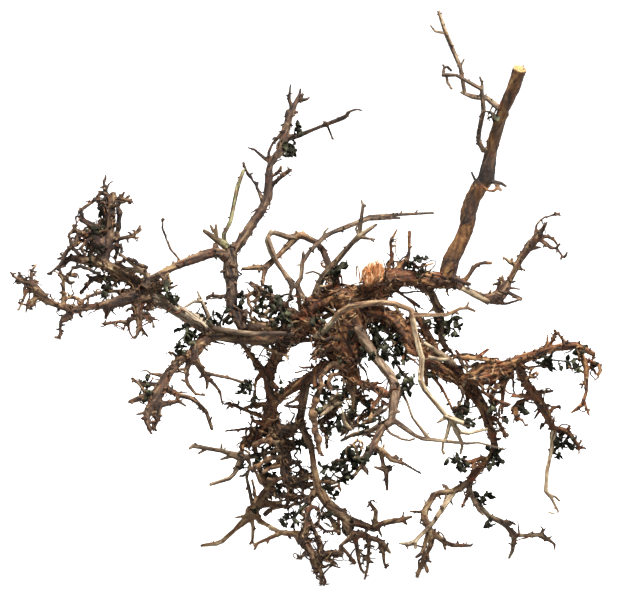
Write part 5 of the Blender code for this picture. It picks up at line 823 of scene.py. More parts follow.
# dark crooked shoots that fill the heart of the shrub and its tangles
fillShoots = {
    "knotShoots": [
        (-2, (-20, 137, 3.2), (-32, 138, 3.4), (-44, 139, 2.8), (-52, 134, 2.2)),
        (-2, (-22, 122, 2.8), (-34, 122, 3.0), (-44, 118, 2.6), (-50, 112, 2)),
        (-3, (-26, 114, 2.2), (-36, 110, 2.6), (-44, 108, 2.2)),
        (-2, (-52, 118, 2), (-51, 107, 2.4), (-46, 98, 2.8), (-38, 92, 3.2), (-30, 90, 3)),
        (-3, (-54, 100, 1.5), (-52, 90, 2), (-51, 82, 2.2), (-53, 74, 2.2)),
        (-2, (-42, 64, 2.2), (-35, 71, 2.6), (-24, 73, 2.6), (-12, 75, 2.4), (-2, 78, 2)),
        (-2, (-24, 102, 2.4), (-32, 98, 2.6), (-40, 102, 2.2)), (-3, (-38, 132, 2), (-42, 124, 2.4), (-38, 116, 2)),
        (-3, (-30, 146, 2), (-38, 146, 2.2), (-46, 148, 1.8)),
        (-2, (20, 68, 2), (26, 60, 2.4), (31, 52, 2.4), (34, 44, 2)), (-3, (26, 70, 1.8), (31, 62, 2), (34, 54, 1.6)),
        (-3, (14, 98, 1.6), (22, 99, 1.8), (31, 97, 1.8), (34, 89, 1.4)),
        (-2, (20, 94, 1.4), (27, 92, 1.6), (33, 94, 1.4)),
        (-2, (40, 214, 2.6), (30, 216, 3.2), (20, 211, 3.2), (15, 203, 2.8), (14, 194, 2.2)),
        (-3, (36, 207, 2.4), (27, 207, 2.6), (22, 199, 2.4), (24, 190, 2)),
        (0, (17, 196, 3), (10, 184, 3.2), (7, 170, 3.4), (8, 155, 3.4), (12, 140, 3), (14, 126, 2.6)),
        (-3, (58, 158, 2.2), (68, 163, 2.4), (80, 172, 2.2)),
        (-3, (46, 144, 1.6), (58, 146, 1.8), (68, 144, 1.6), (75, 138, 1.4)),
        (-4, (50, 128, 1.3), (47, 136, 1.3), (52, 142, 1.3), (57, 137, 1.3), (54, 130, 1.1)),
        (-3, (76, 128, 1.6), (70, 134, 1.5), (62, 132, 1.3)),
    ],
    "columnShoots": [
        (
            -1, (-185, 386, 2), (-187, 372, 2.6), (-187, 357, 2.6), (-188, 343, 2.6), (-189, 331, 2.8),
            (-192, 322, 2.2),
        ),
        (-2, (-188, 379, 2.2), (-180, 378, 2.2), (-176, 384, 1.6)),
        (-2, (-186, 336, 2.4), (-183, 330, 2.4), (-186, 322, 2)),
        (-3, (-234, 312, 1.8), (-225, 314, 2), (-214, 309, 2.2), (-205, 308, 2.2)),
        (-2, (-168, 268, 2), (-158, 266, 2.2), (-154, 258, 1.8), (-152, 252, 1.3)),
        (-4, (-204, 372, 2.2), (-200, 364, 2.4), (-202, 354, 2.2), (-206, 348, 1.8)),
        (-4, (-198, 384, 2), (-204, 378, 2.2), (-208, 370, 1.8)),
        (-3, (-214, 300, 2), (-206, 304, 2.2), (-196, 302, 2)),
        (-3, (-150, 300, 2), (-143, 304, 2), (-138, 298, 1.8), (-136, 290, 1.5)),
        (-4, (-176, 300, 2.4), (-186, 306, 2.2), (-194, 312, 2)),
        (-4, (-158, 312, 2), (-168, 316, 2.2), (-178, 322, 1.8)),
    ],
    "crownShoots": [
        (8, (12, 275, 3.8), (-2, 268, 3.6), (-14, 261, 3.0)), (4, (11, 274, 3.8), (27, 283, 3.2), (36, 288, 2.4)),
        (-3, (-6, 256, 2.4), (6, 262, 2.8), (18, 266, 2.2)),
        (-2, (78, 266, 3), (88, 258, 3.2), (97, 247, 3.2), (104, 236, 2.6)),
        (-2, (150, 230, 1.6), (158, 220, 1.8), (163, 212, 1.4)),
    ],
    "heartShoots": [
        (-6, (36, 262, 2.2), (28, 266, 1.8), (20, 270, 1.4), (14, 276, 0.9)),
        (-8, (34, 240, 2), (26, 243, 1.6), (18, 240, 1.4), (12, 246, 0.9)),
        (-6, (30, 226, 2), (22, 226, 1.6), (14, 222, 1.5), (6, 224, 1.2), (3, 219, 0.8)),
        (-4, (8, 206, 1.6), (0, 209, 1.4), (-6, 207, 1.3), (-12, 208, 1)),
        (-3, (6, 212, 1.3), (-2, 212, 1.1), (-8, 213, 0.9)),
        (-8, (72, 262, 2), (66, 256, 1.4), (60, 252, 1)), (-10, (74, 256, 1.6), (80, 248, 1.4), (86, 246, 1)),
        (-5, (56, 246, 2), (62, 240, 1.5), (68, 236, 1.2), (74, 230, 0.8)),
        (-12, (62, 262, 2), (58, 250, 1.6), (56, 240, 1.4), (60, 232, 1)),
        (-8, (84, 262, 1.8), (88, 252, 1.4), (86, 242, 1.2), (92, 234, 0.8)),
        (-9, (100, 250, 1.6), (96, 242, 1.2), (90, 236, 1), (86, 238, 0.7)),
        (6, (112, 250, 2), (118, 246, 1.8), (122, 238, 1.6), (120, 230, 1.3)),
        (4, (126, 252, 1.6), (120, 256, 1.4), (116, 262, 1)),
        (-4, (101, 224, 1.5), (108, 219, 1.3), (113, 214, 1)),
        (-3, (92, 214, 1.4), (97, 206, 1.2), (103, 200, 1), (104, 194, 0.7)),
        (-6, (50, 226, 2), (54, 216, 1.6), (60, 208, 1.2), (62, 202, 0.8)),
        (-4, (30, 216, 1.6), (26, 208, 1.3), (28, 202, 1), (33, 198, 0.7)),
        (-4, (14, 196, 1.3), (20, 192, 1.2), (28, 191, 1.1), (36, 190, 1), (39, 196, 0.9), (36, 202, 0.8)),
    ],
    "middleShoots": [
        (-3, (60, 176, 1.5), (66, 182, 1.2), (70, 176, 1)), (-5, (70, 168, 1.5), (74, 160, 1.3), (72, 152, 1)),
        (-4, (56, 162, 1.4), (60, 156, 1.2), (68, 158, 1), (74, 164, 0.8)),
        (-6, (54, 184, 1.5), (58, 190, 1.2), (64, 188, 1)), (-3, (50, 158, 1.3), (53, 152, 1), (54, 146, 0.8)),
        (-4, (20, 168, 1.4), (16, 176, 1.3), (10, 182, 1.2), (4, 186, 1)),
        (-5, (26, 176, 1.3), (22, 184, 1.2), (16, 190, 1)), (-3, (8, 158, 1.4), (14, 154, 1.2), (20, 156, 0.9)),
        (-4, (12, 98, 1.6), (20, 99, 1.6), (28, 101, 1.4), (34, 98, 1.2), (33, 90, 1.1)),
        (-5, (48, 106, 1.4), (40, 102, 1.4), (32, 104, 1.2), (26, 108, 1)),
        (-3, (22, 76, 1.4), (16, 70, 1.2), (20, 62, 1), (28, 58, 0.8)),
        (-4, (-26, 92, 1.5), (-32, 98, 1.4), (-38, 104, 1.2), (-44, 106, 1)),
        (-4, (-48, 112, 1.4), (-54, 108, 1.2), (-60, 112, 1), (-66, 112, 0.7)),
        (-5, (-24, 118, 1.5), (-32, 116, 1.4), (-38, 110, 1.2), (-44, 112, 0.9)),
        (5, (-22, 140, 1.6), (-30, 138, 1.3), (-36, 132, 1.1), (-34, 124, 0.8)),
        (-3, (-52, 136, 1.5), (-46, 132, 1.3), (-40, 136, 1)),
        (-3, (-56, 126, 1.3), (-62, 130, 1.1), (-68, 134, 0.8)),
    ],
    "rightShoots": [
        (-4, (178, 206, 2), (184, 198, 1.6), (190, 196, 1.3), (198, 192, 1)),
        (-3, (192, 204, 1.6), (186, 196, 1.4), (182, 188, 1.1)),
        (-4, (204, 206, 1.8), (208, 198, 1.4), (206, 190, 1.2), (210, 184, 1)),
        (2, (176, 200, 1.8), (182, 206, 1.6), (190, 208, 1.4), (198, 204, 1.2)),
        (-4, (190, 178, 1.3), (188, 170, 1.2), (192, 164, 1), (197, 160, 1.2)),
        (3, (168, 196, 1.8), (174, 190, 1.6), (172, 182, 1.3), (178, 176, 1)),
        (-3, (150, 164, 1.5), (154, 158, 1.4), (160, 160, 1.3), (165, 162, 1.2)),
        (-3, (158, 156, 1.2), (164, 158, 1.4), (168, 163, 1.1), (171, 164, 0.8)),
        (-3, (160, 118, 1.6), (154, 114, 1.5), (152, 110, 1.2), (156, 108, 1.1), (159, 111, 1)),
        (2, (158, 119, 1.5), (152, 122, 1.3), (148, 118, 1.2)),
        (-4, (128, 206, 1.4), (132, 199, 1.2), (137, 190, 1), (143, 178, 1), (148, 168, 1.1)),
        (-4, (126, 228, 2.4), (136, 221, 2.4), (148, 214, 2.2), (158, 208, 2)),
        (-6, (132, 224, 2), (146, 223, 1.9), (160, 226, 1.6), (174, 222, 1.6), (188, 219, 1.4)),
        (-3, (138, 214, 2.6), (152, 212, 2.6), (166, 215, 2.2), (180, 213, 2)),
        (-5, (146, 206, 2.8), (156, 202, 2.6), (166, 206, 2.2), (176, 202, 2)),
        (-2, (150, 224, 1.6), (156, 217, 1.6), (160, 209, 1.4)),
        (-4, (160, 200, 2), (154, 192, 1.8), (158, 184, 1.5), (152, 176, 1.2)),
        (-3, (146, 172, 1.4), (152, 168, 1.6), (158, 172, 1.4), (164, 168, 1.2)),
        (-3, (154, 176, 1.2), (156, 168, 1.4), (152, 160, 1.2), (148, 152, 0.9)),
        (-4, (232, 218, 1.2), (238, 214, 1), (246, 212, 0.9), (252, 210, 0.7)),
        (-2, (262, 214, 1), (266, 210, 0.9), (270, 212, 0.7)),
        (-2, (243, 130, 1.3), (248, 127, 1.1), (253, 124, 0.8)),
    ],
    "leftShoots": [
        (-4, (-44, 262, 1.8), (-38, 270, 1.5), (-30, 272, 1.3), (-24, 268, 1)),
        (-3, (-40, 254, 1.8), (-34, 260, 1.5), (-28, 258, 1.2)),
        (-5, (-50, 258, 1.6), (-56, 264, 1.4), (-54, 272, 1.2), (-48, 278, 1)),
        (-3, (-22, 264, 1.5), (-16, 260, 1.3), (-12, 266, 1)),
        (-4, (-34, 284, 1.5), (-40, 278, 1.3), (-46, 280, 1.1), (-50, 286, 0.9)),
        (-3, (-12, 280, 1.4), (-18, 286, 1.2), (-24, 284, 1)),
        (-3, (-30, 246, 1.5), (-26, 238, 1.3), (-20, 234, 1)), (-3, (-88, 254, 1.6), (-94, 262, 1.3), (-92, 270, 1)),
        (-4, (-100, 254, 1.6), (-106, 264, 1.3), (-112, 266, 1)),
        (3, (-152, 296, 1.6), (-146, 304, 1.4), (-140, 302, 1.2), (-137, 306, 0.8)),
        (-3, (-148, 288, 1.5), (-142, 290, 1.3), (-137, 286, 1.1), (-134, 280, 0.9)),
        (-3, (-216, 334, 2), (-222, 340, 1.8), (-228, 336, 1.4), (-232, 342, 1)),
        (-4, (-212, 344, 2), (-218, 338, 1.8), (-224, 332, 1.4), (-222, 326, 1.2)),
        (-3, (-206, 340, 2), (-212, 350, 1.6), (-220, 352, 1.3), (-226, 342, 1)),
        (2, (-208, 322, 2), (-216, 326, 1.6), (-222, 330, 1.3), (-230, 330, 1)),
        (-3, (-176, 304, 1.6), (-170, 310, 1.4), (-164, 312, 1.1), (-158, 308, 0.8)),
        (-3, (-172, 292, 1.8), (-166, 300, 1.5), (-160, 304, 1.2)),
        (-4, (-196, 300, 1.6), (-202, 308, 1.3), (-208, 312, 1)),
        (-3, (-170, 270, 2), (-176, 272, 1.6), (-180, 268, 1.2)),
        (-2, (-188, 286, 1.5), (-182, 292, 1.3), (-176, 290, 1.1)),
        (3, (-22, 436, 1.2), (-18, 430, 1), (-16, 425, 0.9), (-20, 422, 0.8), (-24, 426, 0.8)),
        (-2, (-200, 370, 1.6), (-206, 366, 1.3), (-204, 358, 1.1)),
        (-2, (-204, 378, 1.4), (-198, 372, 1.3), (-192, 376, 1)),
        (3, (-198, 352, 1.8), (-190, 354, 1.4), (-186, 350, 1)),
    ],
}
shootBark = {"columnShoots": darkBark, "knotShoots": rootletBark, "crownShoots": rustBark}
shootLead = {"crownShoots": -2.0}
for name, strands in fillShoots.items():
    lines = knotty(shootLines(strands, shootLead.get(name, 1.0)))
    curvePiece(name, lines, "twig_bark", shootBark.get(name, oldBark))
# single twigs too thin for the frame
fineShoots = [
    (-3, (184, 468, 0.9), (187, 464, 0.8), (186, 460, 0.7)),
    (-2, (186, 473, 1), (183, 468, 0.8), (181, 463, 0.7), (184, 458, 0.5)),
    (-2, (190, 470, 1), (187, 466, 0.8), (188, 461, 0.6)), (-3, (51, 314, 1), (50, 308, 0.9), (51, 303, 0.6)),
    (-3, (-199, 283, 1), (-203, 280, 0.8), (-205, 276, 0.6)), (2, (86, 338, 0.6), (89, 342, 0.6), (93, 341, 0.5)),
    (-3, (240, 362, 0.8), (246, 366, 0.8), (254, 367, 0.7)), (-2, (-55, 402, 0.8), (-60, 410, 0.7), (-63, 418, 0.6)),
]
curvePiece("fineShoots", shootLines(fineShoots), "twig_bark", twigBark)
print("fill shoots done")

# Shards of the torn stub: a fan of splinters that rise from its left foot and end at ragged heights.
shards = {
    "many": 58, "foot": (58.0, 72.0), "low": 293.0, "lean": (-1.0, 12.0), "tips": (302.0, 322.0), "highest": 72.0,
    "layers": 10.0, "thick": (1.0, 2.1), "seed": 611,
}
dice = np.random.default_rng(shards["seed"])
front = min(depthAt(64, 306), depthAt(68, 312)) + 1.5
lines = []
for _ in range(shards["many"]):
    foot = dice.uniform(*shards["foot"])
    lean = dice.uniform(*shards["lean"]) * (1.1 - (foot - shards["foot"][0]) / 25)
    lower = 1 - 0.35 * abs(foot + lean - shards["highest"]) / 10
    tip = shards["tips"][0] + (shards["tips"][1] - shards["tips"][0]) * dice.random() * lower
    depth = front + dice.uniform(0, shards["layers"])
    thick = dice.uniform(*shards["thick"])
    lines.append([
        (spot(foot, shards["low"] + dice.uniform(0, 6), depth + 2), thick),
        (spot(foot + lean * 0.4 + dice.normal() * 0.5, (shards["low"] + tip) / 2 + 2, depth), thick * 1.15),
        (spot(foot + lean, tip, depth + dice.uniform(-1, 3)), 0.4),
    ])
# one lone splinter stands left of the fan
lines.append([(spot(55, 297, front + 3), 1.0), (spot(53.5, 305, front + 2), 0.8), (spot(52, 314, front + 3), 0.35)])
curvePiece("tornShards", lines, "torn_heartwood", heartWood)

# the grey weathered bar that runs on under the left shoulder to the crown
barStrands = [
    (
        6, (-112, 257, 5.0), (-96, 248, 5.4), (-76, 243, 5.4), (-52, 241, 5.2), (-30, 241, 4.8), (-10, 240, 4.0),
        (4, 240, 2.6), (12, 241, 1.2),
    ),
    (-3, (-100, 254, 2.6), (-78, 249, 2.8), (-54, 246, 2.6), (-30, 247, 2.2), (-12, 246, 1.6)),
    (-2, (16, 262, 2.8), (30, 268, 2.6), (44, 270, 2.4), (58, 276, 1.8)),
    (-3, (26, 215, 3.0), (16, 216, 3.6), (9, 209, 3.6), (8, 199, 3.0), (12, 192, 2.2)),
]
curvePiece("weatheredBar", shootLines(barStrands), "bleached_wood", weatheredWood, 4)

# where the bark has peeled off and pale wood shows
peeled = [
    (0, (-34, 350, 2.2), (-40, 342, 2.5), (-37, 331, 2.6), (-31, 320, 2.6), (-22, 307, 2.5), (-12, 297, 2.1)),
    (0, (156, 292, 2.6), (165, 287, 3.3), (174, 282, 3.3), (183, 277, 2.6)),
    (0, (86, 262, 2.2), (96, 252, 2.4), (104, 241, 2.2), (108, 230, 1.6)),
    (-2, (118, 238, 1.6), (128, 230, 2.4), (138, 225, 2.6), (149, 216, 2.0)),
    (-3, (122, 224, 1.6), (132, 219, 2.2), (143, 221, 1.6)),
]
curvePiece("peeledWood", shootLines(peeled), "bleached_wood", bareWood, 2)
# pale splints that stick out in front of the middle
splints = [
    (-4, (35, 184, 2.0), (28, 179, 2.5), (19, 172, 2.5), (9, 165, 1.6)),
    (-5, (36, 179, 1.8), (29, 175, 2.3), (21, 169, 2.3), (14, 164, 1.4)),
    (-3, (33, 187, 1.4), (28, 184, 1.8), (23, 179, 1.2)),
    (-5, (46, 150, 1.6), (40, 154, 2.2), (37, 162, 1.9), (36, 170, 1.0)),
    (-4, (48, 154, 1.4), (43, 158, 1.8), (41, 166, 1.2)),
    (-3, (76, 172, 1.8), (70, 168, 2.0), (62, 160, 1.6), (52, 152, 1.2)),
    (-6, (26, 256, 1.8), (30, 249, 3.0), (29, 241, 3.2), (25, 233, 2.0)),
]
curvePiece("paleSplints", shootLines(splints, -2.0), "bleached_wood", bareWood, 2)

# Rootlets and side twigs too thin for the frame: some crawl over a limb, some stand off it as crooked barbs.
rootlet = {
    "sunk": 0.6, "steps": (4, 8), "turn": 0.55, "endsInBark": 0.45, "under": 0.5, "standOff": 1.3, "clear": 0.2,
    "taper": 0.55, "thinnest": 0.45, "seed": 400,
}
barb = {
    "sunk": 1.0, "foot": 1.35, "lean": 0.45, "steps": 3, "turn": 0.4, "taper": 0.4, "thinnest": 0.45, "forked": 0.45,
    "seed": 500,
}


def footholds(nodes, many, dice):
    # places on the limbs' skin and the way the skin faces there; many is how many for each node
    for node, count in zip(nodes, many):
        mesh = frame["nodes"][node].data
        mesh.calc_loop_triangles()
        areas = np.array([t.area for t in mesh.loop_triangles])
        for k in dice.choice(len(areas), size=count, p=areas / areas.sum()):
            triangle = mesh.loop_triangles[k]
            share = dice.dirichlet((1, 1, 1))
            place = sum((mesh.vertices[v].co * s for v, s in zip(triangle.vertices, share)), Vector())
            yield place, Vector(triangle.normal)


def crawlers(nodes, many, length, radius, lift, seed):
    # crooked rootlets that keep close to the limbs' skin, and end in it or standing off it
    dice = np.random.default_rng(seed)
    lines = []
    for place, normal in footholds(nodes, many, dice):
        way = normal.cross(jolt(dice)).normalized()
        thick = dice.uniform(*radius)
        steps = int(dice.integers(*rootlet["steps"]))
        reach = dice.uniform(*length) / steps * mm
        line = [(place - normal * rootlet["sunk"] * mm, thick)]
        for step in range(1, steps + 1):
            way = (way + jolt(dice) * rootlet["turn"]).normalized()
            place = place + way * reach
            near, facing, face, away = woodSolid.find_nearest(place)
            if step < steps:
                hover = dice.uniform(*lift) * mm
            elif dice.random() < rootlet["endsInBark"]:
                hover = -rootlet["under"] * mm
            else:
                hover = lift[1] * rootlet["standOff"] * mm
            side = place - near
            side = side.normalized() if side.length > rootlet["clear"] * mm and side.dot(facing) > 0 else facing
            if away > hover:
                place = near + side * hover
            line.append((place, max(rootlet["thinnest"], thick * (1 - rootlet["taper"] * step / steps))))
        lines.append(line)
    return lines


def barbs(nodes, many, length, radius, seed):
    # short crooked side twigs, some of them forked
    dice = np.random.default_rng(seed)
    lines = []
    for place, normal in footholds(nodes, many, dice):
        way = (normal + jolt(dice) * barb["lean"]).normalized()
        thick = dice.uniform(*radius)
        steps = barb["steps"]
        reach = (length[0] + (length[1] - length[0]) * dice.random() ** 2) / steps * mm
        line = [(place - normal * barb["sunk"] * mm, thick * barb["foot"])]
        for step in range(1, steps + 1):
            way = (way + jolt(dice) * barb["turn"]).normalized()
            place = place + way * reach
            line.append((place, max(barb["thinnest"], thick * (1.1 - barb["taper"] * step / steps))))
        lines.append(line)
        if dice.random() < barb["forked"]:
            start, width = line[2]
            turn = (way + jolt(dice)).normalized()
            middle, tip = start + turn * reach * 0.5, start + turn * reach * 1.2
            lines.append([(line[1][0], width), (middle, width * 0.8), (tip, 0.4)])
    return lines


# nodes, how many on each, length, radius, and how far they lift off the skin; straws are paler than rootlets
crawling = {
    "crownRootlets": (["crown_heart"], [210], (14, 42), (0.8, 1.9), (0.3, 3.8)),
    "crownStraws": (["crown_heart", "crown_bar"], [130, 20], (12, 40), (0.7, 1.5), (1.0, 5.0)),
    "crownBarRootlets": (["crown_bar", "hook_limb", "back_post"], [60, 5, 12], (10, 30), (0.7, 1.4), (0.2, 2.2)),
    "shoulderRootlets": (
        ["left_shoulder", "left_post", "left_link_limb", "upright_limb"], [90, 26, 3, 18], (10, 32), (0.7, 1.6),
        (0.2, 3.2),
    ),
    "leftRootlets": (
        ["left_knot_limb", "tangle_limb", "left_bar", "lower_left_limb", "tangle_shoots"], [76, 60, 6, 34, 3],
        (8, 28), (0.7, 1.5), (0.2, 3.2),
    ),
    "leftStraws": (
        ["left_knot_limb", "tangle_limb", "lower_left_limb"], [36, 50, 14], (7, 24), (0.6, 1.2), (0.8, 4.0),
    ),
    "lowerRootlets": (
        ["inner_left_limb", "dark_post", "low_centre_limb", "low_centre_legs", "low_left_limb", "centre_limb"],
        [90, 110, 14, 8, 62, 44], (9, 34), (0.8, 1.8), (0.3, 5.5),
    ),
    "lowerStraws": (
        ["inner_left_limb", "dark_post", "low_left_limb", "centre_limb"], [50, 60, 36, 26], (8, 28), (0.7, 1.4),
        (0.8, 6.0),
    ),
    "rightRootlets": (
        ["right_descender", "right_arm", "lower_right_limb", "right_foot_front", "right_foot_rear"],
        [80, 50, 28, 14, 12], (9, 30), (0.7, 1.6), (0.2, 3.2),
    ),
    "rightStraws": (
        ["right_descender", "right_arm", "lower_right_limb"], [90, 40, 16], (8, 30), (0.8, 1.6), (0.8, 4.6),
    ),
}
for order, (name, (nodes, many, length, radius, lift)) in enumerate(crawling.items()):
    if "Straws" in name:
        bark = rootletBark
    else:
        bark = oldBark if order % 4 else rustBark
    curvePiece(name, crawlers(nodes, many, length, radius, lift, rootlet["seed"] + order), "twig_bark", bark, 0)
# nodes, how many on each, length and radius
standing = {
    "crownBarbs": (
        ["crown_heart", "crown_bar", "hook_limb", "back_post", "right_descender"], [50, 34, 20, 12, 60], (3, 9),
        (1.0, 1.8),
    ),
    "leftBarbs": (
        [
            "left_knot_limb", "tangle_limb", "left_shoulder", "lower_left_limb", "tangle_shoots", "left_bar",
            "left_link_limb", "left_post",
        ],
        [76, 120, 44, 40, 20, 12, 6, 10], (2.5, 8), (1.0, 1.9),
    ),
    "lowBarbs": (
        [
            "inner_left_limb", "dark_post", "low_centre_limb", "low_centre_legs", "low_left_limb", "centre_limb",
            "left_pale_leg",
        ],
        [50, 60, 26, 40, 50, 46, 8], (2.5, 8), (1.0, 1.8),
    ),
    "rightBarbs": (
        ["right_arm", "lower_right_limb", "right_foot_front", "right_foot_rear", "knee_foot", "right_foot_pale"],
        [60, 44, 26, 16, 8, 6], (2.5, 7), (1.0, 1.8),
    ),
    "topBarbs": (
        [
            "upright_limb", "stem_twig_high", "stem_twig_low", "long_top_twig", "top_fork_twig", "brown_arch",
            "green_twig",
        ],
        [20, 6, 8, 4, 4, 12, 4], (2, 4), (0.8, 1.2),
    ),
}
for order, (name, (nodes, many, length, radius)) in enumerate(standing.items()):
    curvePiece(name, barbs(nodes, many, length, radius, barb["seed"] + order), "twig_bark", oldBark, 0)
print("rootlets and barbs done")

# one dried leaf, curled along its length and cupped across; outline is its width from end to end
leafShape = {"length": 11.0, "width": 6.2, "thick": 0.3, "outline": (0.12, 0.72, 1.0, 0.7, 0.1)}


def modelLeaf(curl, cup, twist):
    bpy.ops.object.select_all(action="DESELECT")
    bpy.ops.mesh.primitive_grid_add(x_subdivisions=4, y_subdivisions=2, size=1, location=(0, 0, 0))
    leaf = bpy.context.object
    bpy.ops.object.mode_set(mode="EDIT")
    bpy.ops.mesh.select_all(action="SELECT")
    bpy.ops.transform.resize(value=(leafShape["length"] * mm, leafShape["width"] * mm, 1))
    bpy.ops.object.mode_set(mode="OBJECT")
    for vert in leaf.data.vertices:
        t = vert.co.x / (leafShape["length"] * mm) + 0.5
        side = vert.co.y / (leafShape["width"] * mm)
        outline = leafShape["outline"][min(4, round(t * 4))]
        y = side * outline * leafShape["width"] * mm
        angle = curl * t
        reach = leafShape["length"] * mm
        x = math.sin(angle) / max(curl, 0.01) * reach
        z = (1 - math.cos(angle)) / max(curl, 0.01) * reach + abs(side) * cup * outline * 2 * mm
        turn = twist * t
        vert.co = (x, y * math.cos(turn) - z * 0.3 * math.sin(turn), z + y * math.sin(turn))
    wall = leaf.modifiers.new("wall", "SOLIDIFY")
    wall.thickness = leafShape["thick"] * mm
    bpy.ops.object.modifier_apply(modifier=wall.name)
    shape = np.array([vert.co[:] for vert in leaf.data.vertices])
    faces = [tuple(face.vertices) for face in leaf.data.polygons]
    bpy.data.objects.remove(leaf, do_unlink=True)
    return shape, faces


# (curl, cup, twist) of the kinds of leaf
leafKinds = [modelLeaf(1.4, 0.8, 0.4), modelLeaf(2.3, 0.5, -0.7), modelLeaf(0.7, 1.1, 0.9), modelLeaf(2.9, 0.2, 0.3)]


def leafMesh(name, places, dice):
    verts, faces = [], []
    for place, way, size in places:
        shape, sides = leafKinds[dice.integers(len(leafKinds))]
        turned = way.to_track_quat("X", "Z").to_matrix() @ Matrix.Rotation(dice.uniform(0, math.tau), 3, "X")
        wide = dice.uniform(0.7, 1.25)
        start = len(verts)
        verts += [place + turned @ Vector((p[0] * size, p[1] * size * wide, p[2] * size)) for p in shape]
        faces += [[start + v for v in face] for face in sides]
    mesh = bpy.data.meshes.new(name)
    mesh.from_pydata(verts, [], faces)
    mesh.update()
    points, normals, edges = pointsOf(mesh)
    points = points + np.column_stack([softNoise(points / mm, 2.6, 90 + k) for k in range(3)]) * 0.85 * mm
    putPoints(mesh, points)
    smooth(mesh)
    mesh.materials.append(deadLeaf)
    return mesh


sprays = {"perSpray": 14, "small": 0.55, "large": 1.1, "seed": 301}
dice = np.random.default_rng(sprays["seed"])
leafLook = {
    "voxel": 0.45, "rounds": 3, "spurGap": 400.0, "streakReach": 3.0, "streakWidth": 1.2, "patchSize": 6.0,
    "ridge": 0.2, "lump": 0.3, "proud": 0.05,
}
for node in [n for n in frame["nodes"] if n.startswith(("leaf", "leaves"))]:
    piece = carveLimb(copyOfNode(node), leafLook, limbNumber)
    limbNumber += 1
    source = frame["nodes"][node].data
    source.calc_loop_triangles()
    areas = np.array([t.area for t in source.loop_triangles])
    heart = sum((v.co for v in source.vertices), Vector()) / len(source.vertices)
    places = []
    for k in dice.choice(len(areas), size=sprays["perSpray"], p=areas / areas.sum()):
        corners = [source.vertices[v].co for v in source.loop_triangles[k].vertices]
        place = sum(corners, Vector()) / 3
        way = ((place - heart).normalized() + jolt(dice) * 0.6 + Vector((0, 0, -0.3))).normalized()
        places.append((place - way * mm, way, dice.uniform(sprays["small"], sprays["large"])))
    name = camel(node) + "Leaves"
    extra = addObject(name, leafMesh(name, places, dice))
    piece.data.materials.append(deadLeaf)
    selectOnly(piece)
    extra.select_set(True)
    bpy.ops.object.join()
    settle(piece, "dry_leaf", node)
print("leaf sprays done")

# more leaves caught among the limbs: (across, up, spread, how many), a few more than said
caughtShare, leafReach = 1.9, 4.0
caught = {
    "crownLeaves": [
        (84, 237, 4, 5), (89, 226, 4, 5), (74, 240, 10, 14), (62, 226, 7, 8), (82, 246, 6, 6), (40, 222, 5, 5),
        (8, 262, 4, 4), (20, 250, 5, 5), (46, 246, 5, 4), (102, 192, 6, 6), (66, 250, 9, 9), (84, 232, 9, 9),
        (72, 224, 7, 6), (98, 200, 7, 7), (16, 230, 6, 5), (94, 216, 5, 4), (106, 202, 4, 3), (116, 308, 6, 5),
        (128, 254, 4, 4), (60, 236, 6, 5),
    ],
    "middleLeaves": [
        (44, 124, 8, 10), (56, 116, 7, 8), (26, 110, 7, 6), (34, 186, 6, 6), (12, 170, 4, 4), (44, 168, 5, 5),
        (64, 128, 5, 5), (-36, 132, 6, 6), (-48, 124, 5, 5), (-40, 146, 4, 4), (36, 112, 10, 12), (46, 118, 6, 5),
        (28, 104, 6, 5), (62, 178, 7, 5), (70, 162, 6, 5), (22, 62, 5, 4), (14, 184, 5, 4), (26, 194, 5, 4),
        (34, 156, 5, 4), (60, 152, 4, 3), (-6, 138, 4, 3),
    ],
    "leftLeaves": [
        (-118, 240, 6, 8), (-126, 232, 5, 5), (-36, 288, 4, 5), (-66, 280, 3, 4), (-12, 250, 5, 5), (-30, 280, 6, 6),
        (-216, 318, 5, 4), (-204, 350, 6, 6), (-200, 372, 5, 5), (-38, 110, 7, 7), (-63, 115, 5, 5),
        (-104, 262, 6, 6), (-94, 256, 5, 5), (-134, 281, 3, 4), (-26, 262, 8, 8), (-44, 268, 6, 5), (-162, 198, 4, 4),
        (-60, 192, 6, 6), (-50, 180, 4, 3), (-122, 244, 6, 6), (-160, 184, 4, 3), (-200, 282, 3, 2),
    ],
    "rightLeaves": [
        (156, 168, 6, 8), (150, 162, 5, 4), (158, 112, 5, 6), (148, 116, 4, 3), (152, 118, 6, 6), (188, 120, 7, 7),
        (188, 174, 4, 4), (196, 162, 4, 4), (136, 254, 5, 5), (150, 250, 3, 3), (186, 56, 5, 4), (165, 158, 4, 4),
        (127, 204, 2, 2), (196, 206, 7, 5), (214, 170, 4, 3),
    ],
    "armLeaves": [
        (236, 216, 4, 4), (248, 212, 4, 4), (260, 213, 4, 4), (270, 214, 3, 3), (256, 134, 5, 6), (254, 144, 3, 3),
        (286, 212, 3, 3), (276, 230, 4, 3),
    ],
    "topLeaves": [
        (-8, 449, 4, 4), (-17, 430, 4, 5), (30, 308, 5, 5), (36, 312, 3, 3), (186, 464, 3, 3), (-214, 344, 6, 6),
        (-196, 296, 6, 4), (-25, 196, 4, 3), (-206, 330, 5, 4),
    ],
    "lowLeaves": [
        (-23, 57, 2.5, 3), (-17, 60, 2.5, 3), (-11, 62, 2.5, 3), (26, 96, 4, 4), (32, 91, 3, 3), (178, 82, 4, 4),
        (48, 56, 5, 3), (-48, 70, 5, 3), (-30, 92, 4, 3),
    ],
}
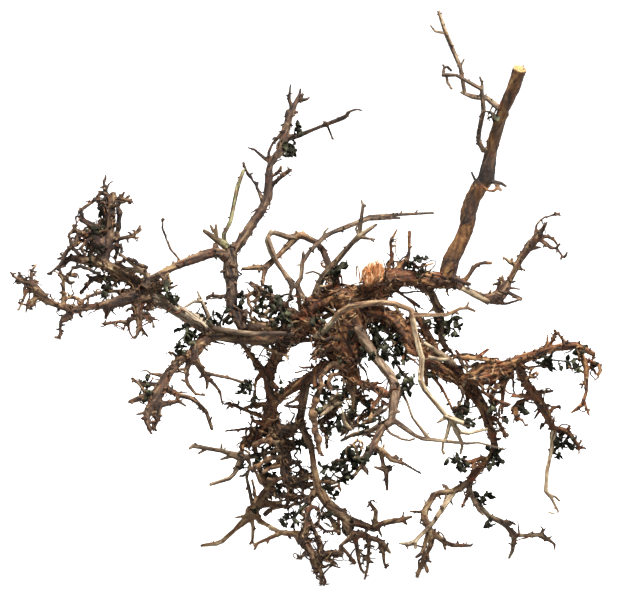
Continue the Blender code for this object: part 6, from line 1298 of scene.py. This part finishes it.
for name, clumps in caught.items():
    places = []
    for across, up, wide, many in clumps:
        for _ in range(round(many * caughtShare)):
            a, u = across + dice.normal() * wide * 0.5, up + dice.normal() * wide * 0.5
            near = sheetTree.find((a, u, 0))
            foot = woodSheet[near[1]]
            # a leaf sits within reach of its limb
            pull = min(1.0, leafReach / max(near[2], 0.01))
            place = spot(foot[0] + (a - foot[0]) * pull, foot[1] + (u - foot[1]) * pull, foot[2] - 1.5)
            aim = spot(a, u, foot[2] - dice.uniform(0, 4)) - place
            way = (aim.normalized() + jolt(dice) * 0.7).normalized()
            places.append((place, way, dice.uniform(sprays["small"], sprays["large"])))
    settle(addObject(name, leafMesh(name, places, dice)), "dry_leaf")
print("caught leaves done")

# The studio: white paper, an even sky that is dark below, a key light high on the right and a weak fill.
room = {
    "floor": 9.0, "paper": 0.9, "glow": 0.75, "sky": 0.4,
    "ground": "#3a3029", "horizon": "#e6e8ea", "zenith": "#ffffff",
    "lens": 1100.0, "frameWidth": 0.644, "aim": (16.0, 280.0, 10.0),
}
lamps = {
    "keyLight": {"at": (0.6, -0.45, 2.4), "aim": (0, 0, 0.28), "size": 0.7, "power": 124.0},
    "fillLight": {"at": (-1.6, -1.6, 1.1), "aim": (0, 0, 0.3), "size": 1.4, "power": 5.0},
}
bpy.ops.object.select_all(action="DESELECT")
bpy.ops.mesh.primitive_plane_add(size=room["floor"], location=(0, 0, 0))
floor = bpy.context.object
floor.name = "studioFloor"
paper, tree, shader = startMaterial("paleStudioPaper")
shader.inputs["Base Color"].default_value = (*[room["paper"]] * 3, 1)
shader.inputs["Roughness"].default_value = 1.0
shader.inputs["Emission Color"].default_value = (1, 1, 1, 1)
shader.inputs["Emission Strength"].default_value = room["glow"]
floor.data.materials.append(paper)
# the paper stays white without throwing light up at the shrub, whose undersides are dark
floor.visible_diffuse = False

world = bpy.data.worlds.new("studioSky")
bpy.context.scene.world = world
world.use_nodes = True
skyTree = world.node_tree
background = skyTree.nodes["Background"]
background.inputs["Strength"].default_value = room["sky"]
direction = addNode(skyTree, "ShaderNodeTexCoord").outputs["Generated"]
height = addNode(skyTree, "ShaderNodeSeparateXYZ", None, {0: direction}).outputs[2]
raised = addNode(skyTree, "ShaderNodeMath", {"operation": "MULTIPLY_ADD"}, {0: height, 1: 0.5, 2: 0.5})
skyTone = addNode(skyTree, "ShaderNodeValToRGB", None, {"Fac": raised.outputs[0]})
setRamp(skyTone, ((0.36, room["ground"]), (0.56, room["horizon"]), (0.9, room["zenith"])))
skyTree.links.new(skyTone.outputs[0], background.inputs["Color"])

for name, lamp in lamps.items():
    light = bpy.data.lights.new(name, "AREA")
    light.shape = "RECTANGLE"
    light.size = light.size_y = lamp["size"]
    light.energy = lamp["power"]
    stand = addObject(name, light)
    stand.location = lamp["at"]
    stand.rotation_euler = (Vector(lamp["aim"]) - Vector(lamp["at"])).to_track_quat("-Z", "Y").to_euler()

cameraData = bpy.data.cameras.new("studioCamera")
cameraData.lens = room["lens"]
cameraData.sensor_width = 36.0
cameraData.clip_start = 1.0
cameraData.clip_end = 100.0
cameraObject = addObject("studioCamera", cameraData)
target = spot(*room["aim"])
away = room["frameWidth"] * cameraData.lens / cameraData.sensor_width
tilt = math.radians(sheet["lean"])
cameraObject.location = target + Vector((0, -math.cos(tilt), math.sin(tilt))) * away
cameraObject.rotation_euler = (math.radians(90) - tilt, 0, 0)
bpy.context.scene.camera = cameraObject
bpy.context.scene.view_settings.view_transform = "Standard"
print("studio done")
